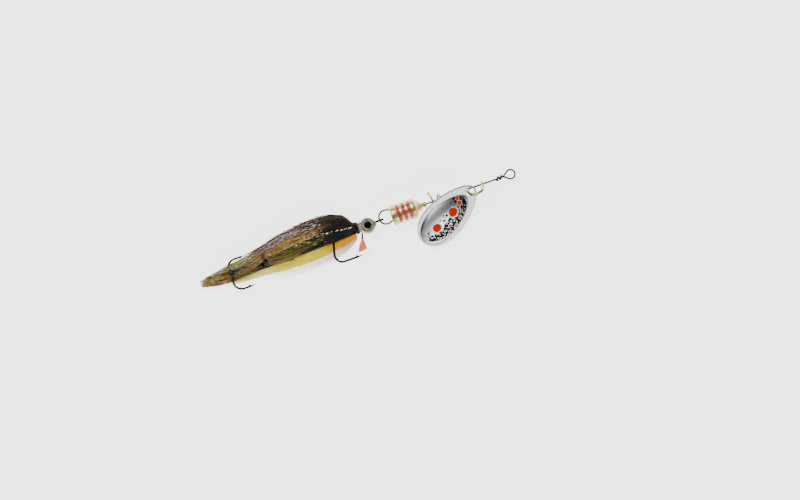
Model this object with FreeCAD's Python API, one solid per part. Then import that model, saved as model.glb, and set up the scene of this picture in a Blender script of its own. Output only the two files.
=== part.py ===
import FreeCAD, Part
import math
import os

from FreeCAD import Matrix, Placement, Rotation, Vector

# An inline spinner with a dressed streamer behind it. Millimetres.
# Origin: centre of the line eye. +X runs along the wire towards the line eye,
# +Y towards the back of the dressed fish and +Z up from the surface the lure lies on.

# ---- wire ----
WIRE_D = 0.66                  # main wire
RUNNING_GAP = 0.06             # radial gap of everything that turns on the wire
STACK_GAP = 0.10               # end gap between pieces threaded on the wire
LINE_EYE_R = 1.69              # centreline radius of the line eye
LINE_EYE_NECK = 2.75           # from the eye's centre back to where its legs meet
WRAP_START = 3.10              # the eye's tail is wound round the wire from here
WRAP_PITCH = 1.25
WRAP_TURNS = 2.0
WRAP_R = WIRE_D - 0.02         # centreline radius of the wound turns

# ---- clevis ----
CLEVIS_ROD_D = 1.20
CLEVIS_EYE_X = -16.8           # rear eyelet, below the arc's rear end
CLEVIS_ARC_R = 2.80            # the blade rides round this arc
CLEVIS_ARC_HEIGHT = 1.65       # arc centre above the wire's axis
CLEVIS_ARC_END = 140.0         # degrees of arc from its rear end
CLEVIS_SPAN = 5.90             # between the two eyelets
CLEVIS_EYE_R = 0.92
CLEVIS_EYE_LENGTH = 1.10
CLEVIS_LEAN = 52.0             # degrees from -Y up to the clevis' own plane

# ---- blade ----
BLADE_LENGTH = 27.8
BLADE_WIDTH = 16.9
BLADE_THICKNESS = 0.60
BLADE_EGG = 0.22               # how much fuller the tail half is
BLADE_HOLE_R = 1.65
BLADE_HOLE_INSET = 2.30        # from the blade's front end to the hole's centre
BLADE_OFFSET = (-0.50, 0.52)   # where the clevis passes the hole, from its centre
BLADE_PITCH = 13.6
BLADE_ROLL = 27.6
BLADE_YAW = 23.6
DOME_HEIGHT = 2.1
DOME_RIM = 0.85                # flat rim behind the dome at the tail
DOME_FRONT = 4.75              # flat plate ahead of the dome, with the hole in it
DOME_SIDE = 2.0                # flat rim at each side
DOME_LENGTH = BLADE_LENGTH - DOME_RIM - DOME_FRONT
DOME_WIDTH = BLADE_WIDTH - 2 * DOME_SIDE

# ---- pieces threaded on the wire ----
BEARING_LENGTH = 2.0
BEARING_R = 1.15
COIL_STRAND_D = 0.90
COIL_BIG_R = 3.45
COIL_CONE_LENGTH = 5.5
COIL_CONE_PITCH = 3.33
COIL_NECK_PITCH = COIL_STRAND_D + 0.07
COIL_NECK_TURNS = 5.0
COIL_STEPS = 14                # points round each turn of its path
COIL_FLOAT = 0.65              # end play between the bearing and the coil
COIL_TO_BODY = 3.3             # from the coil's open end back to the body's tip
BEARING_REAR_X = CLEVIS_EYE_X - CLEVIS_EYE_LENGTH / 2 - STACK_GAP - BEARING_LENGTH
COIL_NECK_X = BEARING_REAR_X - COIL_FLOAT - COIL_STRAND_D / 2 - COIL_NECK_PITCH * COIL_NECK_TURNS
COIL_BIG_X = COIL_NECK_X - COIL_CONE_LENGTH
BEAD_LENGTH = 1.40
BEAD_R = 1.20

# ---- weight body ----
BODY_TIP_X = COIL_BIG_X - COIL_TO_BODY
BODY_LENGTH = 12.3
BODY_R = 3.86
BODY_TIP_R = 1.15
CONE_LENGTH = 2.75
CONE_R = BODY_R - 0.71
SHOULDER = 0.9
REAR_ROUND = 0.75
GROOVE_WIDTH = 1.0
GROOVE_DEPTH = 0.42
GROOVE_BEVEL = 0.22
GROOVE_COUNT = 3
GROOVE_PITCH = 0.1732 * BODY_LENGTH
FIRST_GROOVE = 0.4106 * BODY_LENGTH    # from the tip to the first groove's middle
PAINT_THICKNESS = 0.12
MOUTH_R = BODY_R - 0.66        # the hollow rear's radius at its mouth
MOUTH_DEPTH = 4.6
MOUTH_FLOOR_R = MOUTH_R - 1.7
MOUTH_LIP = (0.9, 0.15)        # how far in, and by how much, the lip narrows
BODY_REAR_X = BODY_TIP_X - BODY_LENGTH

# ---- rear loop ----
LOOP_R = MOUTH_R - 0.62
LOOP_BACK = 1.9                # loop centre behind the body's rear face
LOOP_RISE = 0.44
LOOP_FREE_LEAN = 15.0          # degrees the free leg leans in
LOOP_FREE_LEG = 3.5
LOOP_ENTRY = 0.45              # the wire turns towards the loop this far behind the hollow's floor

# ---- streamer ----
# Its pieces are measured from the rear of the wire's loop, where its own X is zero.
STREAMER_X = BODY_REAR_X - LOOP_BACK - LOOP_R

# ---- front hook ----
HOOK_D = 0.85
HOOK_EYE_R = 1.04
HOOK_GAP = 9.9                 # shank to point
HOOK_HEEL = Vector(-18.10, 0, 0)               # corners of the bend, each rounded
HOOK_BACK = Vector(-20.30, -7.50, 0)
HOOK_FOOT_X = -18.60
HOOK_BEND_R = (1.5, 3.1, 2.5)
HOOK_POINT_X = -9.92
POINT_LENGTH = 2.4
BARB_LENGTH = 1.3
BARB_HEIGHT = 0.5

# ---- head ----
HEAD_CENTRE = (-4.82, -0.30)
HEAD_LENGTH = 6.0
HEAD_HEIGHT = 6.1
HEAD_WIDTH = 5.0
NOSE_ROOT = (-3.32, -0.55)
NOSE_LENGTH = 1.7
NOSE_R = (1.6, 0.75)
NOSE_DROOP = 0.12
NECK_END_X = -8.22
NECK_R = 2.0
EYE_CENTRE = (-4.72, -0.07)
EYE_FACE_Z = 2.05
IRIS_R = 2.28
PUPIL_R = 1.38
FOIL = 0.25
PUPIL_RISE = 0.20
LENS_RISE = 0.75
COLLAR_LENGTH = 1.5
COLLAR_R = 2.3

# ---- trailer ----
TRAILER_D = 0.66
LASHING_X = (-11.02, -16.52)
LASHING_LIFT = Vector(0, -0.10, 0.25)
LASHING_R = (HOOK_D + TRAILER_D) / 2 + 0.595
TRAILER_LOOP_R = 0.90
TRAILER_DIP = (-0.25, -0.55)   # below the shank at the two ends of the lashing
TRAILER_RUN = (Vector(-22.52, -1.95, 2.05), Vector(-35.02, -2.35, 2.45))
TRAILER_BEND_R = (6.0, 8.0, 8.0)
TRAILER_TAIL = Vector(7.74, -1.3, 0.2)         # the end folded back into the sleeve
SLEEVE_REAR = Vector(1.75, -0.25, 0)           # from the treble's pivot
SLEEVE_RUN = Vector(8.6, -1.35, 0.35)          # from its rear end to its front end
SLEEVE_SIDE_R = TRAILER_D / 2 + 0.59
SLEEVE_DEPTH_R = TRAILER_LOOP_R + TRAILER_D / 2 + 0.09

# ---- rear treble ----
TREBLE_PIVOT = Vector(-44.77, -0.74, 1.50)
TREBLE_EYE_D = 0.70
TREBLE_EYE_R = 1.15
TREBLE_WIRE_D = 0.78
TREBLE_SHANK_OFFSET = 0.38
TREBLE_BEND_BACK = 10.45       # pivot to where the bends start
TREBLE_REACH = 6.7             # shank axis to a point
TREBLE_TIP_BACK = 6.15         # pivot to the points
TREBLE_FIRST_ARM = -38.0       # degrees from +Y towards +Z

# ---- dressing ----
SOFT_GAP = 0.15                # round the wires that the fibres lie against
JOIN_R = 6.4                   # the tail bundle turns round this radius
JOIN_GAP = 0.35
DRESSING_START_X = NECK_END_X - COLLAR_LENGTH - 0.1
DRESSING_END_X = -70.82
BACK_DEPTH = 3.62              # half the back bundle's depth at the shoulder
BELLY_DEPTH = 3.75             # how far below the shank the belly bundle lies
FRINGE_DEPTH = 1.3
TUFT_ROOT = Vector(-7.80, -2.15, 0.7)
TUFT_TIP = Vector(-10.12, -8.05, 0.7)
TUFT_R = 1.3
TUFT_STEM_D = 0.45
TUFT_STEM_SHARE = 0.32
TINSEL_WIDTH = 0.5
TINSEL_THICKNESS = 0.12
TINSEL_FAR_RISE = 1.2          # the far flank's strand lies this much higher

WIRE_R = WIRE_D / 2
BORE_R = WIRE_R + RUNNING_GAP
LOOP_CENTRE = Vector(BODY_REAR_X - LOOP_BACK, LOOP_RISE, 0)
WIRE_TURN_X = BODY_REAR_X + MOUTH_DEPTH - LOOP_ENTRY
X_AXIS = Vector(1, 0, 0)
Z_AXIS = Vector(0, 0, 1)


def save(name, shape):
    shape.exportStep("parts/" + name + ".step")


def save_streamer(name, shape):
    """Save a piece of the streamer, carried to where the wire's loop holds it."""
    placed = shape.copy()
    placed.translate(Vector(STREAMER_X, 0, 0))
    save(name, placed)


def rod(radius, start, end):
    """A plain cylinder between two points."""
    along = end - start
    return Part.makeCylinder(radius, along.Length, start, along)


def ball(radius, centre):
    return Part.makeSphere(radius, centre)


def swept(path, radius):
    """A round bar along a smooth wire of edges."""
    first = path.OrderedEdges[0]
    start = first.valueAt(first.FirstParameter)
    heading = first.tangentAt(first.FirstParameter)
    if first.Orientation == "Reversed":
        start = first.valueAt(first.LastParameter)
        heading = first.tangentAt(first.LastParameter) * -1
    profile = Part.Wire([Part.Circle(start, heading, radius).toShape()])
    return path.makePipeShell([profile], True, True)


def rounded_route(points, radii):
    """Straight runs through points, joined by tangent arcs of the given radii."""
    edges = []
    last = points[0]
    for index in range(1, len(points) - 1):
        corner = points[index]
        back = (last - corner).normalize()
        ahead = (points[index + 1] - corner).normalize()
        half = back.getAngle(ahead) / 2
        reach = radii[index - 1] / math.tan(half)
        begin = corner + back * reach
        finish = corner + ahead * reach
        middle_way = (back + ahead).normalize()
        centre = corner + middle_way * (radii[index - 1] / math.sin(half))
        middle = centre - middle_way * radii[index - 1]
        edges.append(Part.LineSegment(last, begin).toShape())
        edges.append(Part.Arc(begin, middle, finish).toShape())
        last = finish
    edges.append(Part.LineSegment(last, points[-1]).toShape())
    return Part.Wire(edges)


def turned(profile):
    """Revolve a list of (x, radius) points about the wire's axis."""
    points = [Vector(x, radius, 0) for x, radius in profile]
    points.append(points[0])
    face = Part.Face(Part.makePolygon(points))
    return face.revolve(Vector(0, 0, 0), X_AXIS, 360)


def torus(centre, normal, ring_radius, bar_radius):
    return Part.makeTorus(ring_radius, bar_radius, centre, normal)


def bundle(stations):
    """A soft bundle lofted through (x, y low, y high, z low, z high) stations."""
    rings = []
    for x, y_low, y_high, z_low, z_high in stations:
        middle = ((y_low + y_high) / 2, (z_low + z_high) / 2)
        half = ((y_high - y_low) / 2, (z_high - z_low) / 2)
        points = []
        for step in range(16):
            angle = 2 * math.pi * step / 16
            y = middle[0] + half[0] * math.cos(angle)
            z = middle[1] + half[1] * math.sin(angle)
            points.append(Vector(x, y, z))
        curve = Part.BSplineCurve()
        curve.interpolate(points, PeriodicFlag=True)
        rings.append(Part.Wire([curve.toShape()]))
    return Part.makeLoft(rings, True, False)


def point_and_barb(radius, base, heading, inward):
    """A tapered point from base along heading, with a barb cut up on its inner side."""
    cone = Part.makeCone(radius, 0.05, POINT_LENGTH, base, heading)
    root = base - heading * 0.2
    rise = inward * (radius + BARB_HEIGHT)
    side = heading.cross(inward) * (radius * 0.45)
    corners = [root + heading * BARB_LENGTH + inward * (radius * 0.3), root + rise, root]
    face = Part.Face(Part.makePolygon([corner - side for corner in corners + corners[:1]]))
    return cone.fuse(face.extrude(side * 2))


# ---------------------------------------------------------------- main wire

def make_line_eye():
    """A teardrop eye whose tail is wound back round the wire."""
    neck = Vector(-LINE_EYE_NECK, 0, 0)
    lean = math.acos(LINE_EYE_R / LINE_EYE_NECK)
    upper = Vector(-LINE_EYE_R * math.cos(lean), LINE_EYE_R * math.sin(lean), 0)
    lower = Vector(upper.x, -upper.y, 0)
    legs = [neck, upper, lower]
    arc = Part.Arc(upper, Vector(LINE_EYE_R, 0, 0), lower).toShape()
    eye = swept(Part.Wire([arc]), WIRE_R)
    eye = eye.multiFuse([rod(WIRE_R, neck, legs[1]), rod(WIRE_R, neck, legs[2]), ball(WIRE_R, neck)])
    wrap = Part.makeHelix(WRAP_PITCH, WRAP_PITCH * WRAP_TURNS, WRAP_R)
    wrap.Placement = Placement(Vector(-WRAP_START, 0, 0), Rotation(Z_AXIS, Vector(-1, 0, 0)))
    coil = swept(Part.Wire(wrap.Edges), WIRE_R)
    return eye, coil


def tangent_point(outside, centre, radius, side):
    """Where a line from a point outside touches a circle in the XY plane."""
    to_centre = centre - outside
    reach = math.sqrt(to_centre.Length ** 2 - radius ** 2)
    swing = math.asin(radius / to_centre.Length) * side
    along = math.atan2(to_centre.y, to_centre.x) + swing
    return outside + Vector(math.cos(along), math.sin(along), 0) * reach


def rear_loop_route():
    """The wire's rear: out of the bore, round the loop and back into the hollow."""
    start = Vector(-LINE_EYE_NECK, 0, 0)
    corner = Vector(WIRE_TURN_X, 0, 0)
    lower = tangent_point(corner, LOOP_CENTRE, LOOP_R, 1)
    lean = math.radians(90 - LOOP_FREE_LEAN)
    outward = Vector(math.cos(lean), math.sin(lean), 0)
    upper = LOOP_CENTRE + outward * LOOP_R
    free_end = upper + Vector(outward.y, -outward.x, 0) * LOOP_FREE_LEG
    entry = rounded_route([start, corner, lower], [1.6])
    ring = Part.Arc(lower, LOOP_CENTRE - Vector(LOOP_R, 0, 0), upper).toShape()
    leg = Part.LineSegment(upper, free_end).toShape()
    return Part.Wire(entry.OrderedEdges + [ring, leg])


def make_shaft_wire():
    eye, coil = make_line_eye()
    wire = swept(rear_loop_route(), WIRE_R)
    return wire.multiFuse([eye, coil])


# ---------------------------------------------------------------- clevis and blade

def clevis_point(x, height):
    """A point of the clevis' own plane, which leans CLEVIS_LEAN up from -Y."""
    lean = math.radians(CLEVIS_LEAN)
    return Vector(x, -height * math.cos(lean), height * math.sin(lean))


def clevis_arc_centre():
    return CLEVIS_EYE_X + CLEVIS_ARC_R


def arc_point(degrees):
    angle = math.radians(degrees)
    x = clevis_arc_centre() - CLEVIS_ARC_R * math.cos(angle)
    return clevis_point(x, CLEVIS_ARC_HEIGHT + CLEVIS_ARC_R * math.sin(angle))


def make_clevis():
    front_x = CLEVIS_EYE_X + CLEVIS_SPAN
    start = clevis_point(CLEVIS_EYE_X, 0.5)
    rear_leg = Part.LineSegment(start, arc_point(0)).toShape()
    arc = Part.Arc(arc_point(0), arc_point(CLEVIS_ARC_END / 2), arc_point(CLEVIS_ARC_END)).toShape()
    radius = CLEVIS_ROD_D / 2
    shape = swept(Part.Wire([rear_leg, arc]), radius)
    shape = shape.multiFuse([
        rod(radius, arc_point(CLEVIS_ARC_END), clevis_point(front_x, 0.25)),
        ball(radius, arc_point(CLEVIS_ARC_END)),
    ])
    half = Vector(CLEVIS_EYE_LENGTH / 2, 0, 0)
    eyelets = []
    for x in (CLEVIS_EYE_X, front_x):
        middle = Vector(x, 0, 0)
        eyelets.append(rod(CLEVIS_EYE_R, middle - half, middle + half))
    shape = shape.multiFuse(eyelets)
    bore = rod(BORE_R, Vector(CLEVIS_EYE_X - 3, 0, 0), Vector(front_x + 3, 0, 0))
    return shape.cut(bore)


def egg_wire(length, width, centre_x, height):
    """An egg outline, fuller towards the tail (-X), as one smooth closed curve."""
    points = []
    for step in range(28):
        angle = 2 * math.pi * step / 28
        along = math.cos(angle)
        half = width / 2 * 0.978 * (1 - BLADE_EGG * along)
        points.append(Vector(centre_x + length / 2 * along, half * math.sin(angle), height))
    curve = Part.BSplineCurve()
    curve.interpolate(points, PeriodicFlag=True)
    return Part.Wire([curve.toShape()])


def dome_solid(shrink, drop):
    """The raised part of the blade, as a stack of shrinking egg outlines."""
    centre_x = -BLADE_LENGTH + DOME_RIM + DOME_LENGTH / 2
    rings = []
    for share in (1.0, 0.94, 0.82, 0.64, 0.42, 0.16):
        height = DOME_HEIGHT * (1 - share ** 2.6) + BLADE_THICKNESS / 2 - drop
        if share == 1.0:
            height = -drop
        length = (DOME_LENGTH - shrink) * share
        width = (DOME_WIDTH - shrink) * share
        rings.append(egg_wire(length, width, centre_x, height))
    return Part.makeLoft(rings, True, False)


def blade_placement():
    """Hang the blade's hole on the rear end of the clevis arc."""
    turn = Rotation(X_AXIS, BLADE_ROLL)
    turn = turn.multiply(Rotation(Vector(0, 1, 0), BLADE_PITCH))
    turn = turn.multiply(Rotation(Z_AXIS, BLADE_YAW))
    crossing = Vector(-BLADE_HOLE_INSET + BLADE_OFFSET[0], BLADE_OFFSET[1], 0)
    return Placement(arc_point(0) - turn.multVec(crossing), turn)


def make_blade():
    outline = egg_wire(BLADE_LENGTH, BLADE_WIDTH, -BLADE_LENGTH / 2, -BLADE_THICKNESS / 2)
    plate = Part.Face(outline).extrude(Vector(0, 0, BLADE_THICKNESS))
    shape = plate.fuse(dome_solid(0, 0))
    shape = shape.cut(dome_solid(2 * BLADE_THICKNESS, BLADE_THICKNESS))
    hole = Part.makeCylinder(BLADE_HOLE_R, 4, Vector(-BLADE_HOLE_INSET, 0, -2))
    shape = shape.cut(hole)
    shape.Placement = blade_placement()
    return shape


# ---------------------------------------------------------------- pieces on the wire

def barrel(front_x, length, radius, end_radius):
    """A bead with rounded ends and a bore that runs on the wire."""
    third = length / 3
    profile = [
        (front_x, BORE_R),
        (front_x, end_radius),
        (front_x - third * 0.5, radius * 0.9),
        (front_x - third, radius),
        (front_x - 2 * third, radius),
        (front_x - 2.5 * third, radius * 0.9),
        (front_x - length, end_radius),
        (front_x - length, BORE_R),
    ]
    return turned(profile)


def make_coil():
    """A tapered coil: close turns round the wire that open into a cone."""
    neck_r = BORE_R + COIL_STRAND_D / 2
    cone_turns = COIL_CONE_LENGTH / COIL_CONE_PITCH
    turns = COIL_NECK_TURNS + cone_turns
    steps = round(turns * COIL_STEPS)
    points = []
    for step in range(steps + 1):
        turn = turns * step / steps
        opened = max(0, turn - COIL_NECK_TURNS) / cone_turns
        closed = COIL_NECK_TURNS - min(turn, COIL_NECK_TURNS)
        x = COIL_NECK_X + COIL_NECK_PITCH * closed - COIL_CONE_LENGTH * opened
        radius = neck_r + (COIL_BIG_R - neck_r) * opened
        angle = 2 * math.pi * (turn - turns)
        points.append(Vector(x, radius * math.cos(angle), radius * math.sin(angle)))
    curve = Part.BSplineCurve()
    curve.interpolate(points)
    return swept(Part.Wire([curve.toShape()]), COIL_STRAND_D / 2)


def make_rear_bead():
    front_x = BODY_TIP_X + STACK_GAP + BEAD_LENGTH
    return barrel(front_x, BEAD_LENGTH, BEAD_R, BEAD_R * 0.6)


# ---------------------------------------------------------------- weight body

def groove_middles():
    return [BODY_TIP_X - FIRST_GROOVE - GROOVE_PITCH * index for index in range(GROOVE_COUNT)]


def make_weight_body():
    """A bell-shaped body with a bore for the wire and a hollow rear."""
    cone_x = BODY_TIP_X - CONE_LENGTH
    shoulder_x = cone_x - SHOULDER
    profile = [
        (BODY_TIP_X, BORE_R),
        (BODY_TIP_X, BODY_TIP_R),
        (cone_x, CONE_R),
        (cone_x - SHOULDER * 0.35, BODY_R - 0.22),
        (shoulder_x, BODY_R),
        (BODY_REAR_X + REAR_ROUND, BODY_R),
        (BODY_REAR_X + REAR_ROUND * 0.3, BODY_R - REAR_ROUND * 0.28),
        (BODY_REAR_X, BODY_R - REAR_ROUND * 0.6),
        (BODY_REAR_X, MOUTH_R),
        (BODY_REAR_X + MOUTH_LIP[0], MOUTH_R - MOUTH_LIP[1]),
        (BODY_REAR_X + MOUTH_DEPTH * 0.75, MOUTH_FLOOR_R + 0.5),
        (BODY_REAR_X + MOUTH_DEPTH, BORE_R),
    ]
    shape = turned(profile)
    for middle in groove_middles():
        front = middle + GROOVE_WIDTH / 2
        rear = middle - GROOVE_WIDTH / 2
        cut = [
            (front + GROOVE_BEVEL, BODY_R + 1),
            (front + GROOVE_BEVEL, BODY_R + 0.01),
            (front, BODY_R - GROOVE_DEPTH * 0.45),
            (front, BODY_R - GROOVE_DEPTH),
            (rear, BODY_R - GROOVE_DEPTH),
            (rear, BODY_R - GROOVE_DEPTH * 0.45),
            (rear - GROOVE_BEVEL, BODY_R + 0.01),
            (rear - GROOVE_BEVEL, BODY_R + 1),
        ]
        shape = shape.cut(turned(cut))
    return shape


def make_groove_bands():
    """The red lacquer that lies in the grooves."""
    floor_r = BODY_R - GROOVE_DEPTH
    bands = []
    for middle in groove_middles():
        front = Vector(middle + GROOVE_WIDTH / 2, 0, 0)
        rear = Vector(middle - GROOVE_WIDTH / 2, 0, 0)
        band = rod(floor_r + PAINT_THICKNESS, rear, front).cut(rod(floor_r, rear, front))
        bands.append(band)
    return Part.makeCompound(bands)


# ---------------------------------------------------------------- front hook and head

def hook_eye_centre():
    """The hook's eye hangs on the loop where it crosses the hook's axis."""
    return Vector(LOOP_R - math.sqrt(LOOP_R ** 2 - LOOP_RISE ** 2), 0, 0)


def make_front_hook(extra):
    """Eye, shank, round bend, barbed point; extra thickens it to cut clearance."""
    radius = HOOK_D / 2 + extra
    eye = hook_eye_centre()
    shank_start = eye - Vector(HOOK_EYE_R, 0, 0)
    foot = Vector(HOOK_FOOT_X, -HOOK_GAP, 0)
    base = Vector(HOOK_POINT_X - POINT_LENGTH, -HOOK_GAP, 0)
    route = rounded_route([shank_start, HOOK_HEEL, HOOK_BACK, foot, base], HOOK_BEND_R)
    shape = swept(route, radius)
    tip = point_and_barb(radius, base, X_AXIS, Vector(0, 1, 0))
    return shape.multiFuse([torus(eye, Vector(0, 1, 0), HOOK_EYE_R, radius), tip])


def make_head():
    """A moulded head round the hook's shank, flat where the eyes sit."""
    centre = Vector(HEAD_CENTRE[0], HEAD_CENTRE[1], 0)
    scale = Matrix()
    scale.scale(HEAD_LENGTH / 2, HEAD_HEIGHT / 2, HEAD_WIDTH / 2)
    skull = Part.makeSphere(1.0).transformGeometry(scale)
    skull.translate(centre)
    nose = Part.makeCone(*NOSE_R, NOSE_LENGTH, Vector(*NOSE_ROOT, 0), Vector(1, -NOSE_DROOP, 0))
    neck = rod(NECK_R, Vector(NECK_END_X, 0, 0), Vector(centre.x, 0, 0))
    shape = skull.multiFuse([nose, neck])
    for side in (1, -1):
        seat = Vector(EYE_CENTRE[0], EYE_CENTRE[1], side * EYE_FACE_Z)
        shape = shape.cut(Part.makeCylinder(IRIS_R + 0.04, 2, seat, Z_AXIS * side))
    bore = rod(HOOK_D / 2, Vector(NECK_END_X - 1, 0, 0), hook_eye_centre())
    ring = torus(hook_eye_centre(), Vector(0, 1, 0), HOOK_EYE_R, HOOK_D / 2)
    return shape.cut(bore).cut(ring)


def eye_pieces(side):
    """One moulded eye: foil iris, black pupil and clear domed lens."""
    up = Z_AXIS * side
    seat = Vector(EYE_CENTRE[0], EYE_CENTRE[1], side * EYE_FACE_Z)
    face = seat + up * FOIL
    iris = Part.makeCylinder(IRIS_R, FOIL, seat, up)
    pupil = Part.makeCylinder(PUPIL_R, PUPIL_RISE, face, up)
    dome_r = (IRIS_R ** 2 + LENS_RISE ** 2) / (2 * LENS_RISE)
    sphere = ball(dome_r, face + up * (LENS_RISE - dome_r))
    lens = Part.makeCylinder(IRIS_R, LENS_RISE, face, up).common(sphere).cut(pupil)
    return iris, pupil, lens


def make_thread_collar():
    """Binding thread built up behind the head."""
    front = NECK_END_X
    rear = front - COLLAR_LENGTH
    shank = HOOK_D / 2
    profile = [
        (front, shank),
        (front, COLLAR_R * 0.86),
        (front - COLLAR_LENGTH * 0.25, COLLAR_R),
        (front - COLLAR_LENGTH * 0.65, COLLAR_R),
        (rear, COLLAR_R * 0.62),
        (rear, shank),
    ]
    return turned(profile)


# ---------------------------------------------------------------- trailer and treble

def trailer_route():
    """From the shank's lashing, along the side and round the treble's eye."""
    lie = HOOK_D / 2 + TRAILER_D / 2
    top = TREBLE_PIVOT + Z_AXIS * TRAILER_LOOP_R
    bottom = TREBLE_PIVOT - Z_AXIS * TRAILER_LOOP_R
    points = [
        Vector(LASHING_X[0] + 0.2, TRAILER_DIP[0], lie),
        Vector(LASHING_X[1] - 0.6, TRAILER_DIP[1], lie),
        *TRAILER_RUN,
        top,
        bottom,
        bottom + TRAILER_TAIL,
    ]
    return rounded_route(points, [*TRAILER_BEND_R, TRAILER_LOOP_R - 0.01, TRAILER_LOOP_R - 0.01])


def make_trailer_wire(extra):
    return swept(trailer_route(), TRAILER_D / 2 + extra)


def oval_sleeve(extra):
    rear = TREBLE_PIVOT + SLEEVE_REAR
    rings = []
    for share in (0.0, 0.08, 0.92, 1.0):
        middle = rear + SLEEVE_RUN * share
        fit = 0.88 if share in (0.0, 1.0) else 1.0
        rings.append((
            middle.x + extra * (2 * share - 1),
            middle.y - (SLEEVE_SIDE_R + extra) * fit,
            middle.y + (SLEEVE_SIDE_R + extra) * fit,
            middle.z - (SLEEVE_DEPTH_R + extra) * fit,
            middle.z + (SLEEVE_DEPTH_R + extra) * fit,
        ))
    return bundle(rings)


def make_trailer_sleeve():
    return oval_sleeve(0).cut(make_trailer_wire(0))


def lashing(extra):
    front = Vector(LASHING_X[0] + extra, 0, 0) + LASHING_LIFT
    rear = Vector(LASHING_X[1] - extra, 0, 0) + LASHING_LIFT
    return rod(LASHING_R + extra, rear, front)


def make_shank_lashing():
    """Thread that binds the trailer wire to the front hook's shank."""
    return lashing(0).cut(make_front_hook(0)).cut(make_trailer_wire(0))


def make_rear_treble(extra):
    """Three wires brazed side by side, each bent round to its own barbed point."""
    radius = TREBLE_WIRE_D / 2 + extra
    axis = TREBLE_PIVOT
    eye = axis - Vector(TREBLE_EYE_R - TRAILER_LOOP_R, 0, 0)
    pieces = []
    bend_r = (TREBLE_REACH - TREBLE_SHANK_OFFSET) / 2
    for arm in range(3):
        angle = math.radians(TREBLE_FIRST_ARM + 120 * arm)
        out = Vector(0, math.cos(angle), math.sin(angle))
        front = Vector(eye.x - TREBLE_EYE_R - 0.35, axis.y, axis.z) + out * TREBLE_SHANK_OFFSET
        turn = Vector(axis.x - TREBLE_BEND_BACK, axis.y, axis.z) + out * TREBLE_SHANK_OFFSET
        far = turn + out * (2 * bend_r)
        heel = turn + out * bend_r - Vector(bend_r, 0, 0)
        base = Vector(axis.x - TREBLE_TIP_BACK - POINT_LENGTH, far.y, far.z)
        edges = [
            Part.LineSegment(front, turn).toShape(),
            Part.Arc(turn, heel, far).toShape(),
            Part.LineSegment(far, base).toShape(),
        ]
        pieces.append(swept(Part.Wire(edges), radius))
        pieces.append(point_and_barb(radius, base, X_AXIS, out * -1))
    pieces.append(ball(radius * 1.25, Vector(eye.x - TREBLE_EYE_R - 0.45, axis.y, axis.z)))
    ring = torus(eye, Z_AXIS, TREBLE_EYE_R, TREBLE_EYE_D / 2 + extra)
    return ring.multiFuse(pieces)


# ---------------------------------------------------------------- dressing

def make_back_bundle():
    """Back and flank: the upper bundle, from the collar to the tail's tip."""
    deep = BACK_DEPTH
    return bundle([
        (DRESSING_START_X, -1.5, 3.6, -2.0, 2.2),
        (-12.52, -1.6, 7.0, -3.3, 3.4),
        (-17.52, -1.7, 8.35, -deep, deep),
        (-27.02, -1.9, 8.5, -deep, deep - 0.8),
        (-35.52, -2.3, 7.2, -deep, deep - 1.72),
        (-43.52, -2.5, 5.5, -deep, deep - 2.77),
        (-53.02, -2.5, 3.6, -deep, deep - 3.07),
        (-63.02, -2.3, 2.3, -3.6, deep - 4.12),
        (DRESSING_END_X, -0.9, 0.6, -3.2, -1.9),
    ])


def make_belly_bundle():
    """Throat and belly: the lower bundle, under the hook's shank."""
    low = -BELLY_DEPTH
    return bundle([
        (DRESSING_START_X - 0.4, -3.3, -1.75, -1.3, 1.2),
        (-13.52, -4.5, -1.8, -2.6, 2.0),
        (-19.02, -5.1, -1.95, low, 1.6),
        (-28.02, -5.8, -2.1, low, 1.3),
        (-37.02, -5.8, -2.5, low, 0.8),
        (-47.02, -4.6, -2.7, -3.65, 0.3),
        (-57.02, -4.1, -2.75, -3.5, -0.8),
    ])


def make_fringe_bundle():
    """Thin pale fibres that show below the belly."""
    deep = FRINGE_DEPTH
    return bundle([
        (-21.62, -6.6, -5.75, -2.1, -0.4),
        (-28.02, -9.0, -6.0, -1.4 - deep, -1.4 + deep),
        (-37.02, -8.6, -5.95, -1.6 - deep, -1.6 + deep),
        (-43.02, -7.7, -5.7, -2.7, -0.7),
    ])


def pivot_disc(radius):
    centre = Vector(TREBLE_PIVOT.x, TREBLE_PIVOT.y, -20)
    return Part.makeCylinder(radius, 40, centre, Z_AXIS)


def ahead_of_pivot():
    return Part.makeBox(80, 60, 40, Vector(TREBLE_PIVOT.x, -30, -20))


def front_part(shape):
    """What turns with the front hook: ahead of the pivot, or within the join's radius."""
    return shape.common(ahead_of_pivot().fuse(pivot_disc(JOIN_R)))


def tail_part(shape):
    """What turns with the treble, hollowed to swing round the join."""
    return shape.cut(ahead_of_pivot()).cut(pivot_disc(JOIN_R + JOIN_GAP))


def cut_all(shape, tools):
    for tool in tools:
        shape = shape.cut(tool)
    return shape


def largest(shape):
    """Keep the main solid when a cut leaves a crumb."""
    return max(shape.Solids, key=lambda solid: solid.Volume)


def make_tuft():
    along = TUFT_TIP - TUFT_ROOT
    spread = TUFT_ROOT + along * TUFT_STEM_SHARE
    stem = rod(TUFT_STEM_D / 2, TUFT_ROOT, spread)
    fan = Part.makeCone(TUFT_STEM_D / 2, TUFT_R, (TUFT_TIP - spread).Length, spread, along)
    return stem, fan


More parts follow.
